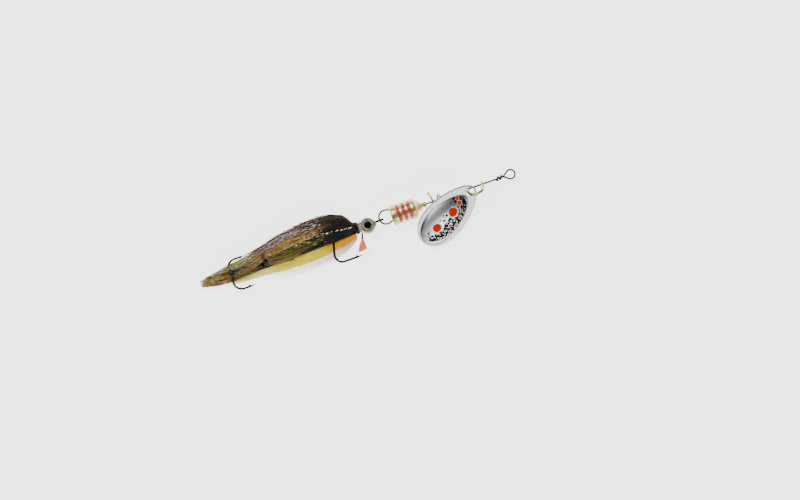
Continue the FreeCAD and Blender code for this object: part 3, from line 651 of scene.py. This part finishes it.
def disc_points(count, rim=0.5, locks=70, pull=0.55):
    """Places in a unit disc, gathered into locks, and the lock each place belongs to."""
    centre_r = rng.uniform(0, 1, locks) ** rim
    centre_a = rng.uniform(0, 2 * np.pi, locks)
    centre = np.stack([centre_r * np.cos(centre_a), centre_r * np.sin(centre_a)], axis=1)
    radius = rng.uniform(0, 1, count) ** rim
    angle = rng.uniform(0, 2 * np.pi, count)
    place = np.stack([radius * np.cos(angle), radius * np.sin(angle)], axis=1)
    lock = np.argmin(((place[:, None] - centre[None]) ** 2).sum(axis=2), axis=1)
    place += (centre[lock] - place) * pull * each(0.4, 1.0, count)
    return place[:, 0], place[:, 1], lock


def each(low, high, count, *more):
    """One random value for each strand, as (strands, 1), or (strands, 1, 1) for colours."""
    return rng.uniform(low, high, (count, 1, *more))


def either(test, first, second):
    """The first colour where the test holds and the second elsewhere."""
    return np.where(test[..., None], first, second)


def lock_tones(lock, spread):
    """One brightness for each lock, as (strands, 1, 1)."""
    tone = np.exp(rng.normal(0, spread, lock.max() + 1))
    return tone[lock][:, None, None]


def back_colours(paths, across, lock):
    """Black shoulder, silvery top, amber flank, olive stripe above a dark edge, olive and tan tail."""
    count = len(paths)
    x = paths[..., 0]
    level = across[:, None]
    lock_pick = rng.uniform(0, 1, lock.max() + 1)[lock][:, None]
    pick = np.clip(lock_pick + rng.normal(0, 0.18, (count, 1)), 0, 1)
    tone = lock_tones(lock, 0.42) * each(0.6, 1.5, count, 1)
    black, dark_edge = np.array([[0.006, 0.005, 0.004], [0.018, 0.013, 0.006]])
    shoulder_top = either(pick < 0.3, (0.085, 0.060, 0.022), (0.040, 0.016, 0.010))
    up = smooth_steps(level, -0.15, 0.45)[..., None]
    shoulder = black * (1 - up) + shoulder_top * up
    flank = either(pick < 0.50, (0.92, 0.38, 0.030), (0.20, 0.066, 0.020))
    flank = either(pick > 0.80, (1.0, 0.70, 0.24), flank)
    top = either(pick < 0.46, (0.98, 0.74, 0.64), (0.20, 0.085, 0.050))
    low = either(pick < 0.62, (0.36, 0.34, 0.020), (0.075, 0.068, 0.006))
    low = either(pick > 0.90, (0.50, 0.42, 0.08), low)
    high_side = smooth_steps(level, 0.22, 0.60)[..., None]
    low_side = smooth_steps(-level, 0.05, 0.30)[..., None]
    rear = flank * (1 - high_side) + top * high_side
    rear = rear * (1 - low_side) + low * low_side
    under = smooth_steps(-level, 0.62, 0.80)[..., None]
    rear = rear * (1 - under) + dark_edge * under
    tail_top = either(pick < 0.55, (0.50, 0.46, 0.050), (0.95, 0.82, 0.30))
    tail_low = either(pick < 0.5, (0.80, 0.36, 0.07), (0.15, 0.066, 0.014))
    tail_low = either(pick > 0.85, (0.85, 0.68, 0.42), tail_low)
    split = smooth_steps(level, -0.30, 0.15)[..., None]
    tail = tail_low * (1 - split) + tail_top * split
    edge = 69.5 + 12.0 * each(0, 1, count) ** 1.2 - 2.0 * np.abs(level)
    to_rear = smooth_steps(-x, edge, edge + 5.0)[..., None]
    to_tail = smooth_steps(-x, 95.0, 106.0)[..., None]
    colour = shoulder * (1 - to_rear) + rear * to_rear
    return (colour * (1 - to_tail) + tail * to_tail) * tone


def blended(piece):
    """Bake a piece's placement into its mesh."""
    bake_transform(piece)


def make_back(material):
    """The upper bundle in a few pieces; the first two stand for the CAD solids."""
    replaced = {0: ("dressing_back",), 1: ("dressing_tail",)}
    for index in range(7):
        count = 640
        across, deep, lock = disc_points(count, 0.40)
        long_enough = rng.uniform(0, 1, count) ** 0.8
        ends = -79.0 - 42.5 * long_enough
        near_top = np.clip(across, 0, 1)
        ends = np.where(rng.uniform(0, 1, count) < 0.25 * near_top, -72.0 - 18 * long_enough, ends)
        root_x = np.full(count, -60.5) - rng.uniform(0, 0.4, count)
        paths = bundle_paths(BACK, count, 16, root_x, ends, (across, deep))
        taper = np.linspace(1.0, 0.35, 16) * each(0.12, 0.30, count)
        colour = back_colours(paths, across, lock)
        piece = strand_mesh("back_fibres_%d" % index, paths, taper, colour, material)
        blended(piece)
        if index in replaced:
            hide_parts(*replaced[index])


def make_strays(material):
    """Loose hairs that stand off the back's outline."""
    count = 150
    root_x = rng.uniform(-96.0, -63.0, count)
    length = rng.uniform(3.0, 9.0, count)
    share = np.linspace(0, 1, 8)
    y_mid, y_half, z_mid, _ = envelope(BACK, root_x)
    x = root_x[:, None] - length[:, None] * share
    edge_mid, edge_half, _, _ = envelope(BACK, x)
    stand = each(0.1, 1.1, count) * share ** 1.4
    y = np.minimum(edge_mid + edge_half * 0.97 + stand, 9.3)
    z = z_mid[:, None] + rng.normal(0, 1.2, (count, 1)) + share * rng.normal(0, 0.8, (count, 1))
    paths = np.stack([x, y, z], axis=-1)
    pick = each(0, 1, count, 1)
    colour = np.where(pick < 0.6, (0.05, 0.025, 0.015), (0.30, 0.20, 0.10))
    taper = np.tile(np.linspace(0.15, 0.06, 8), (count, 1))
    piece = strand_mesh("stray_hairs", paths, taper, colour, material)
    blended(piece)


def make_over_shank(material):
    """Fibres of the flank that cross over the treble's shank."""
    count, steps = 420, 14
    share = np.linspace(0, 1, steps)
    start_x = each(-96.5, -88.0, count)
    end_x = each(-119.0, -107.0, count)
    x = start_x + (end_x - start_x) * share
    lane = each(0, 1, count)
    y = 0.4 + 2.8 * lane - (2.4 + 0.3 * lane) * smooth_steps(-x, 93.0, 105.0)
    y = y + np.clip(-x - 106.0, 0, 20) * 0.10 + 0.08 * np.sin(x * 2.1 + 6 * lane)
    rise = smooth_steps(-x, 94.0, 98.5) * (1 - smooth_steps(-x, 106.0, 114.0))
    _, _, z_mid, z_half = envelope(BACK, x)
    skin = z_mid + z_half * 0.8
    z = skin + (2.15 - z_mid - z_half * 0.8) * rise + each(0, 0.5, count) * (0.3 + rise)
    paths = np.stack([x, y, z], axis=-1)
    amber, brown, olive = [0.46, 0.19, 0.025], [0.12, 0.05, 0.015], [0.20, 0.20, 0.025]
    tints = np.array([amber, brown, olive, [0.85, 0.66, 0.32], [0.03, 0.022, 0.01]])
    chosen = rng.choice(5, count, p=(0.27, 0.25, 0.22, 0.12, 0.14))
    colour = tints[chosen][:, None, :] * each(0.7, 1.4, count, 1)
    taper = np.linspace(1.0, 0.4, steps) * each(0.12, 0.26, count)
    piece = strand_mesh("over_fibres", paths, taper, colour, material)
    blended(piece)


def make_over_sleeve(material):
    """Fibres of the flank that fall across the sleeve and the trailer wire."""
    count, steps = 80, 12
    share = np.linspace(0, 1, steps)
    start_x = each(-88.0, -77.0, count)
    x = start_x - each(6.0, 15.0, count) * share
    x = np.maximum(x, -94.6 + 0.4 * each(0, 1, count))
    lane = each(0, 1, count)
    y = 0.6 - 2.6 * lane - 0.9 * smooth_steps(-x, 78.0, 90.0) + 0.7 * smooth_steps(-x, 88.0, 95.0)
    y = y + 0.07 * np.sin(x * 1.9 + 7 * lane)
    rise = smooth_steps(-x, 80.0, 84.5)
    z = flank_z(x, y, 0.0)
    z = z + (np.maximum(z, 3.30) - z) * rise + each(0.0, 0.35, count)
    paths = np.stack([x, y, z], axis=-1)
    tints = np.array([[0.24, 0.24, 0.025], [0.05, 0.045, 0.008], [0.42, 0.20, 0.03], [0.70, 0.55, 0.22]])
    chosen = rng.choice(4, count, p=(0.34, 0.34, 0.22, 0.10))
    colour = tints[chosen][:, None, :] * each(0.7, 1.4, count, 1)
    taper = (0.25 + 0.75 * np.sin(np.pi * share)) * each(0.12, 0.24, count)
    colour = colour * (0.15 + 0.85 * smooth_steps(-x, 75.0, 83.0))[..., None]
    piece = strand_mesh("over_sleeve_fibres", paths, taper, colour, material)
    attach(piece, "streamer")


def make_belly(material):
    replaced = {0: ("dressing_belly",), 1: ("tail_belly",)}
    for index in range(3):
        count = 520
        across, deep, lock = disc_points(count, 0.45, locks=40)
        ends = -76.0 - 35.0 * rng.uniform(0, 1, count) ** 0.9
        root_x = np.full(count, -60.7)
        paths = bundle_paths(BELLY, count, 13, root_x, ends, (across, deep), crimp=0.10, flare=0.35)
        orange = np.array([0.86, 0.36, 0.002])
        yellow = np.array([1.0, 0.84, 0.040])
        pale = np.array([1.0, 0.95, 0.48])
        x = paths[..., 0:1]
        turn = each(66.0, 76.0, count, 1)
        colour = orange + (yellow - orange) * smooth_steps(-x, turn - 2.5, turn + 3.0)
        colour = colour + (pale - colour) * smooth_steps(-x, 82.0, 104.0) * each(0.3, 1, count, 1)
        colour = colour * lock_tones(lock, 0.24) * each(0.78, 1.12, count, 1)
        taper = np.linspace(1.0, 0.35, 13) * each(0.10, 0.22, count)
        piece = strand_mesh("belly_fibres_%d" % index, paths, taper, colour, material)
        blended(piece)
        if index in replaced:
            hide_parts(*replaced[index])


def make_fringe(material):
    for index in range(2):
        count = 85
        across, deep, _ = disc_points(count, 0.6)
        ends = -70.0 - 34.0 * rng.uniform(0, 1, count)
        root_x = np.full(count, -61.0)
        paths = bundle_paths(FRINGE, count, 12, root_x, ends, (across, deep), crimp=0.16, flare=0.7)
        tone = each(0.9, 1.1, count, 1)
        colour = np.array([0.95, 0.93, 0.82]) * tone
        taper = np.linspace(1.0, 0.4, 12) * each(0.035, 0.075, count)
        piece = strand_mesh("fringe_fibres_%d" % index, paths, taper, colour, material)
        blended(piece)
        if index == 0:
            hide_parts("under_fringe")


# ---- flash ----

def flank_z(x, y, lift):
    """Height of the back bundle's upper skin at a place on the flank."""
    y_mid, y_half, z_mid, z_half = envelope(BACK, x)
    across = np.clip((y - y_mid) / y_half, -0.98, 0.98)
    return z_mid + z_half * np.sqrt(1 - across ** 2) + lift


def flakes(name, x, y, length, width, side, colour, material, lift):
    """Short bright facets that follow the fibres."""
    steps = 3
    share = np.linspace(-0.5, 0.5, steps)
    along = x[:, None] + length[:, None] * share
    across = y[:, None] + rng.normal(0, 0.10, (len(x), 1)) * share * length[:, None]
    z = flank_z(along, across, lift)
    if side < 0:
        _, _, z_mid, _ = envelope(BACK, along)
        z = np.maximum(2 * z_mid - z, FLOOR_Z + 0.35)
    paths = np.stack([along, across, z], axis=-1)
    widths = width[:, None] * np.array([0.75, 1.0, 0.7])
    return strand_mesh(name, paths, widths, colour[:, None, :], material, flat=0.25, twist=0.35)


def make_tinsel(material):
    """The bright broken line along each flank and finer glints among the fibres."""
    for side, node in ((1, "tinsel_left"), (-1, "tinsel_right")):
        x = -62.1 - 1.72 * np.arange(20) + rng.uniform(-0.25, 0.25, 20)
        y = np.interp(-x, [62, 66, 72, 79, 87, 95], [1.05, 1.65, 2.25, 2.45, 1.9, 1.1])
        y = y + rng.normal(0, 0.10, 20)
        fade = np.interp(-x, [62, 74, 95], [1.0, 0.8, 0.5])
        length = rng.uniform(0.9, 1.45, 20) * fade
        width = rng.uniform(0.55, 0.85, 20) * fade
        colour = np.array([1.0, 0.90, 0.70]) * rng.uniform(0.85, 1.1, (20, 1))
        piece = flakes("flash_line_%d" % (side > 0), x, y, length, width, side, colour, material, 0.30)
        blended(piece)
        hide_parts(node)
    count = 460
    x = -118.0 + 46.0 * rng.uniform(0, 1, count) ** 0.8
    level = rng.normal(0.0, 0.30, count)
    level = np.where(rng.uniform(0, 1, count) < 0.22, rng.uniform(0.40, 0.92, count), level)
    y_mid, y_half, _, _ = envelope(BACK, x)
    y = y_mid + y_half * np.clip(level, -0.75, 0.9)
    gold = np.array([1.0, 0.72, 0.32])
    white = np.array([1.0, 0.90, 0.84])
    colour = np.where((level > 0.42)[:, None], white, gold) * each(0.7, 1.1, count)
    length = rng.uniform(0.35, 1.1, count)
    width = rng.uniform(0.16, 0.34, count)
    piece = flakes("flash_glints", x, y, length, width, 1, colour, material, 0.22)
    blended(piece)


# ---- tuft and thread ----

def make_tuft(material, dark):
    """A fan of coral fibres under the head, with its dark tie."""
    low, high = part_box("tuft_stem")
    fan_low, fan_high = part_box("red_tuft")
    fan_middle = (fan_low + fan_high) / 2
    root = np.array([high.x / MM, high.y / MM, (low.z + high.z) / 2 / MM])
    count, steps = 420, 9
    tip_mid = np.array([fan_middle.x / MM + 0.3, fan_low.y / MM + 0.25, root[2]])
    share = np.linspace(0, 1, steps)[None, :, None]
    sideways = rng.uniform(-1.65, 1.65, count)
    fan = np.stack([sideways, rng.normal(0, 0.12, count), rng.normal(0, 0.45, count)], axis=-1)
    reach = each(0.78, 1.04, count, 1)
    line = root + (tip_mid - root) * share * reach
    spread = fan[:, None, :] * smooth_steps(share, 0.28, 1.05) ** 0.85 * reach
    paths = line + spread + rng.normal(0, 0.02, (count, steps, 3)) * share
    coral = np.array([1.0, 0.20, 0.12])
    pink = np.array([1.0, 0.50, 0.40])
    blend_up = each(0, 0.8, count, 1) * (1 - share) + 0.1
    colour = coral + (pink - coral) * blend_up
    widths = np.linspace(0.09, 0.16, steps) * each(0.8, 1.3, count)
    tuft = strand_mesh("tuft_fibres", paths, widths, colour, material)
    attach(tuft, "streamer")
    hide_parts("red_tuft", "tuft_stem")
    count, steps = 26, 6
    share = np.linspace(0, 1, steps)[None, :, None]
    stem_end = root + (tip_mid - root) * 0.36
    paths = root + (stem_end - root) * share + rng.normal(0, 0.10, (count, 1, 3)) * (0.8 + 0.4 * share)
    colour = np.array([[[0.035, 0.025, 0.020]]])
    tie = strand_mesh("tuft_tie", paths, np.full((count, steps), 0.24), colour, dark)
    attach(tie, "streamer")


def make_collar(material):
    """Binding thread, turn by turn, behind the head."""
    low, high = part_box("thread_collar")
    front, rear = high.x / MM, low.x / MM
    radius = high.y / MM
    turns, per_turn = 11, 40
    steps = turns * per_turn
    turn = np.linspace(0, turns, steps)
    x = front + (rear - front) * (0.06 + 0.88 * turn / turns)
    shape = np.interp((front - x) / (front - rear), [0, 0.25, 0.65, 1.0], [0.86, 1.0, 1.0, 0.66])
    around = 2 * np.pi * turn
    thread = 0.10
    base = radius * shape - thread
    paths = np.stack([x, base * np.cos(around), base * np.sin(around)], axis=-1)[None]
    colour = np.array([[[0.020, 0.017, 0.015]]])
    outline = [(front, 0.5), (front, radius * 0.80), (front - 0.4, radius * 0.93)]
    outline += [(rear + 0.5, radius * 0.93), (rear, radius * 0.58), (rear, 0.5)]
    core = lathe("collar_core", outline, thread_material())
    wound = strand_mesh("collar_thread", paths, np.full((1, steps), 2.6 * thread), colour, material)
    for piece in (core, wound):
        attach(piece, "streamer")
    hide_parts("thread_collar")


def make_collar_cover(material):
    """Short dark fibres that lie forward over the thread, so that the dressing starts at the head."""
    low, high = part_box("thread_collar")
    front, ring = high.x / MM, high.y / MM + 0.06
    count, steps = 300, 9
    share = np.linspace(0, 1, steps)
    start = front - each(0.15, 1.1, count)
    x = start + (-66.5 + each(-1.5, 1.5, count) - start) * share
    around = np.radians(each(-112, 112, count))
    y_mid, y_half, z_mid, z_half = envelope(BACK, np.minimum(x, -60.8))
    grown = smooth_steps(-x, -low.x / MM - 0.5, -low.x / MM + 1.6)
    y = ring * np.cos(around) * (1 - grown) + (y_mid + y_half * 0.99 * np.cos(around)) * grown
    z = ring * np.sin(around) * (1 - grown) + (z_mid + z_half * 0.99 * np.sin(around)) * grown
    paths = np.stack([x, y, z], axis=-1)
    pick = each(0, 1, count, 1)
    colour = np.where(pick < 0.72, (0.008, 0.006, 0.005), (0.045, 0.022, 0.012))
    swell = np.array([0.05, 0.16, 0.2, 0.2, 0.2, 0.19, 0.17, 0.13, 0.06])
    widths = swell * each(0.8, 1.3, count)
    piece = strand_mesh("collar_cover_fibres", paths, widths, colour, material)
    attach(piece, "streamer")


def thread_material():
    s = Shader("black thread")
    wind = s.noise(1800.0, 3.0)
    s.colour(s.ramp(wind, (0.3, (0.008, 0.007, 0.006)), (0.7, (0.035, 0.028, 0.024))))
    s.roughness(wind, 0.45, 0.7)
    s.bump(wind, 0.00005, 0.5)
    return s.material


# ---- head and eyes ----

def head_material():
    """Tinted resin: olive at the front, taupe at the upper rear, bright flecks at the lower rear."""
    s = Shader("head resin")
    low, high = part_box("head")
    place = s.node("SeparateXYZ")
    s.link(s.coords(), place.inputs[0])
    length = high.x - low.x
    back = s.math("DIVIDE", s.math("SUBTRACT", place.outputs["X"], low.x), length)
    rise = s.math("DIVIDE", place.outputs["Y"], high.y)
    cloud = s.noise(700.0, 4.0)
    base = s.ramp(cloud, (0.30, (0.17, 0.17, 0.075)), (0.70, (0.36, 0.35, 0.20)))
    ragged = s.math("ADD", back, s.math("MULTIPLY", cloud, 0.1))
    upper = s.math("MULTIPLY", s.math("LESS_THAN", ragged, 0.36), s.math("GREATER_THAN", rise, 0.22))
    colour = s.mix(upper, base, (0.22, 0.17, 0.12))
    glint = s.node("TexVoronoi", feature="F1")
    glint.inputs["Scale"].default_value = 1300.0
    s.link(s.coords(), glint.inputs["Vector"])
    lower = s.math("MULTIPLY", s.math("LESS_THAN", back, 0.42), s.math("LESS_THAN", rise, -0.50))
    bright = s.math("MULTIPLY", lower, s.math("LESS_THAN", glint.outputs["Distance"], 0.42))
    s.colour(s.mix(bright, colour, (0.95, 0.84, 0.58)))
    s.link(s.math("MULTIPLY", bright, 0.8), s.bsdf.inputs["Metallic"])
    s.set(Coat_Weight=0.6, Coat_Roughness=0.08, Subsurface_Weight=0.25, Subsurface_Scale=0.001)
    s.roughness(cloud, 0.20, 0.36)
    s.bump(cloud, 0.00005, 0.4)
    return s.material


def iris_material():
    """Silver-green foil with fine rays and a darker rim."""
    s = Shader("iris foil")
    low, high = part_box("iris_left")
    centre = (low + high) / 2
    away = s.vector("SUBTRACT", s.coords(), tuple(centre))
    flat = s.vector("MULTIPLY", away, (1.0, 1.0, 0.0))
    out = s.math("DIVIDE", s.vector("LENGTH", flat, result="Value"), (high.x - low.x) / 2)
    fine = s.noise(9.0, 3.0, s.vector("NORMALIZE", flat))
    foil = s.ramp(fine, (0.3, (0.52, 0.56, 0.36)), (0.7, (0.88, 0.92, 0.70)))
    rim = s.ramp(out, (0.80, (1.0, 1.0, 1.0)), (0.97, (0.12, 0.13, 0.08)))
    s.colour(s.mix(1.0, foil, rim, "MULTIPLY"))
    s.set(Metallic=0.25)
    s.roughness(fine, 0.18, 0.34)
    s.bump(fine, 0.00003, 0.5)
    return s.material


def pupil_material():
    s = Shader("pupil")
    haze = s.noise(900.0, 2.0)
    s.colour(s.ramp(haze, (0.3, (0.004, 0.005, 0.010)), (0.7, (0.014, 0.018, 0.034))))
    s.set(Coat_Weight=1.0, Coat_Roughness=0.05)
    s.roughness(haze, 0.15, 0.25)
    return s.material


def lens_material():
    s = Shader("clear lens")
    ripple = s.noise(400.0, 2.0)
    s.set(Base_Color=(0.05, 0.06, 0.05, 1.0), Alpha=0.10)
    s.roughness(ripple, 0.03, 0.08)
    s.bump(ripple, 0.00001, 0.2)
    return s.material


def trailer_material():
    """Dark coating with a faint weave."""
    s = Shader("trailer coating")
    weave = s.noise(900.0, 3.0, s.stretch((0.4, 1.0, 1.0)))
    s.colour(s.ramp(weave, (0.3, (0.005, 0.004, 0.003)), (0.7, (0.022, 0.016, 0.010))))
    s.roughness(weave, 0.5, 0.7)
    s.bump(weave, 0.00004, 0.4)
    return s.material


def sleeve_material():
    s = Shader("sleeve")
    grain = s.noise(700.0, 4.0)
    s.colour(s.ramp(grain, (0.3, (0.004, 0.003, 0.002)), (0.7, (0.020, 0.013, 0.007))))
    s.roughness(grain, 0.6, 0.8)
    s.bump(grain, 0.0001, 0.5)
    return s.material


# ---- stage ----

def make_stage():
    """A pale table that gives off a soft light of its own."""
    low, high = cad_box
    floor_z = low[2] - 0.0002
    mesh = bpy.data.meshes.new("table")
    reach = 3.0
    corners = [(-reach, -reach), (reach, -reach), (reach, reach), (-reach, reach)]
    mesh.from_pydata([(*corner, floor_z) for corner in corners], [], [(0, 1, 2, 3)])
    s = Shader("table")
    s.colour(s.ramp(s.noise(8.0), (0.3, (0.88, 0.88, 0.88)), (0.7, (0.92, 0.92, 0.92))))
    s.set(Roughness=0.9, Emission_Color=(1.0, 1.0, 1.0, 1.0), Emission_Strength=TABLE_GLOW)
    new_object("table", mesh, s.material, smooth=False)


def area_light(name, size, energy, place, aim):
    data = bpy.data.lights.new(name, "AREA")
    data.shape = "RECTANGLE"
    data.size, data.size_y = size
    data.energy = energy
    light = bpy.data.objects.new(name, data)
    bpy.context.scene.collection.objects.link(light)
    light.location = place
    light.rotation_euler = (Vector(aim) - Vector(place)).to_track_quat("-Z", "Y").to_euler()


def make_light(middle):
    """A studio that is bright overhead and to the rear left, and dark beyond the line eye."""
    world = bpy.data.worlds.new("studio")
    bpy.context.scene.world = world
    world.use_nodes = True
    tree = world.node_tree
    coords = tree.nodes.new("ShaderNodeTexCoord")
    toward = tree.nodes.new("ShaderNodeVectorMath")
    toward.operation = "DOT_PRODUCT"
    toward.inputs[1].default_value = (-0.62, -0.45, 0.64)
    tree.links.new(coords.outputs["Generated"], toward.inputs[0])
    shade = tree.nodes.new("ShaderNodeMapRange")
    shade.inputs["From Min"].default_value = -0.7
    shade.inputs["From Max"].default_value = 0.8
    shade.inputs["To Min"].default_value = 0.30
    shade.inputs["To Max"].default_value = 0.75
    tree.links.new(toward.outputs["Value"], shade.inputs["Value"])
    tree.links.new(shade.outputs["Result"], tree.nodes["Background"].inputs["Strength"])
    x, y, z = middle
    area_light("key", (0.40, 0.25), 5.0, (x - 0.20, y + 0.42, z + 0.60), middle)
    area_light("fill", (0.45, 0.35), 3.2, (x + 0.24, y - 0.52, z + 0.34), middle)


def make_camera():
    low, high = cad_box
    data = bpy.data.cameras.new("camera")
    data.lens = LENS
    data.sensor_width = SENSOR
    data.clip_start = 0.01
    camera = bpy.data.objects.new("camera", data)
    bpy.context.scene.collection.objects.link(camera)
    x = (low[0] + high[0]) / 2 + VIEW_SHIFT[0] * MM
    y = (low[1] + high[1]) / 2 + VIEW_SHIFT[1] * MM
    camera.location = (x, y, VIEW_WIDTH * MM * LENS / SENSOR)
    camera.rotation_euler = Euler((0, 0, math.radians(VIEW_TURN)))
    bpy.context.scene.camera = camera
    return (x, y, 0.0)


# ---- build ----

def dress(node, material):
    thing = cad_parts[node]
    thing.data.materials.clear()
    thing.data.materials.append(material)


def main():
    middle = make_camera()
    make_stage()
    make_light(middle)

    dress("shaft_wire", drawn_wire_material())
    olive_brass = brass_material("olive brass", (0.40, 0.38, 0.14), (0.62, 0.60, 0.30), (0.30, 0.44))
    for node in ("clevis", "tapered_coil"):
        dress(node, olive_brass)
    brass = brass_material("turned brass", (0.46, 0.36, 0.11), (0.72, 0.60, 0.26), (0.16, 0.30))
    for node in ("rear_bead", "clevis_bearing"):
        dress(node, brass)
    pale_brass = brass_material("pale brass", (0.60, 0.47, 0.19), (0.84, 0.72, 0.38), (0.32, 0.44), 500.0)
    make_weight_body(pale_brass)
    dress("groove_bands", lacquer_material())
    hooks = hook_material()
    for node in ("front_hook", "rear_treble"):
        dress(node, hooks)

    blade = make_blade(blade_material())
    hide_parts("blade")
    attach(blade, "blade")

    dress("head", head_material())
    iris, pupil, lens = iris_material(), pupil_material(), lens_material()
    for label in ("left", "right"):
        dress("iris_" + label, iris)
        dress("pupil_" + label, pupil)
        dress("eye_lens_" + label, lens)
    dress("shank_lashing", thread_material())
    dress("trailer_wire", trailer_material())
    dress("trailer_sleeve", sleeve_material())

    brown = fibre_material("brown fibre")
    make_back(brown)
    make_strays(brown)
    make_over_shank(brown)
    make_over_sleeve(brown)
    # The yellow and coral fibres get a painted glow of their own colour.
    make_belly(fibre_material("yellow fibre", clear=0.3, shade=0.12, painted_glow=0.30))
    make_fringe(fibre_material("white fibre", clear=0.3, shade=0.1))
    make_tinsel(fibre_material("flash foil", rough=0.30, metal=0.25, shade=0.2))
    make_tuft(fibre_material("coral fibre", clear=0.2, shade=0.1, painted_glow=0.25), fibre_material("dark tie"))
    make_collar(fibre_material("wound thread", rough=0.5))
    make_collar_cover(brown)


main()
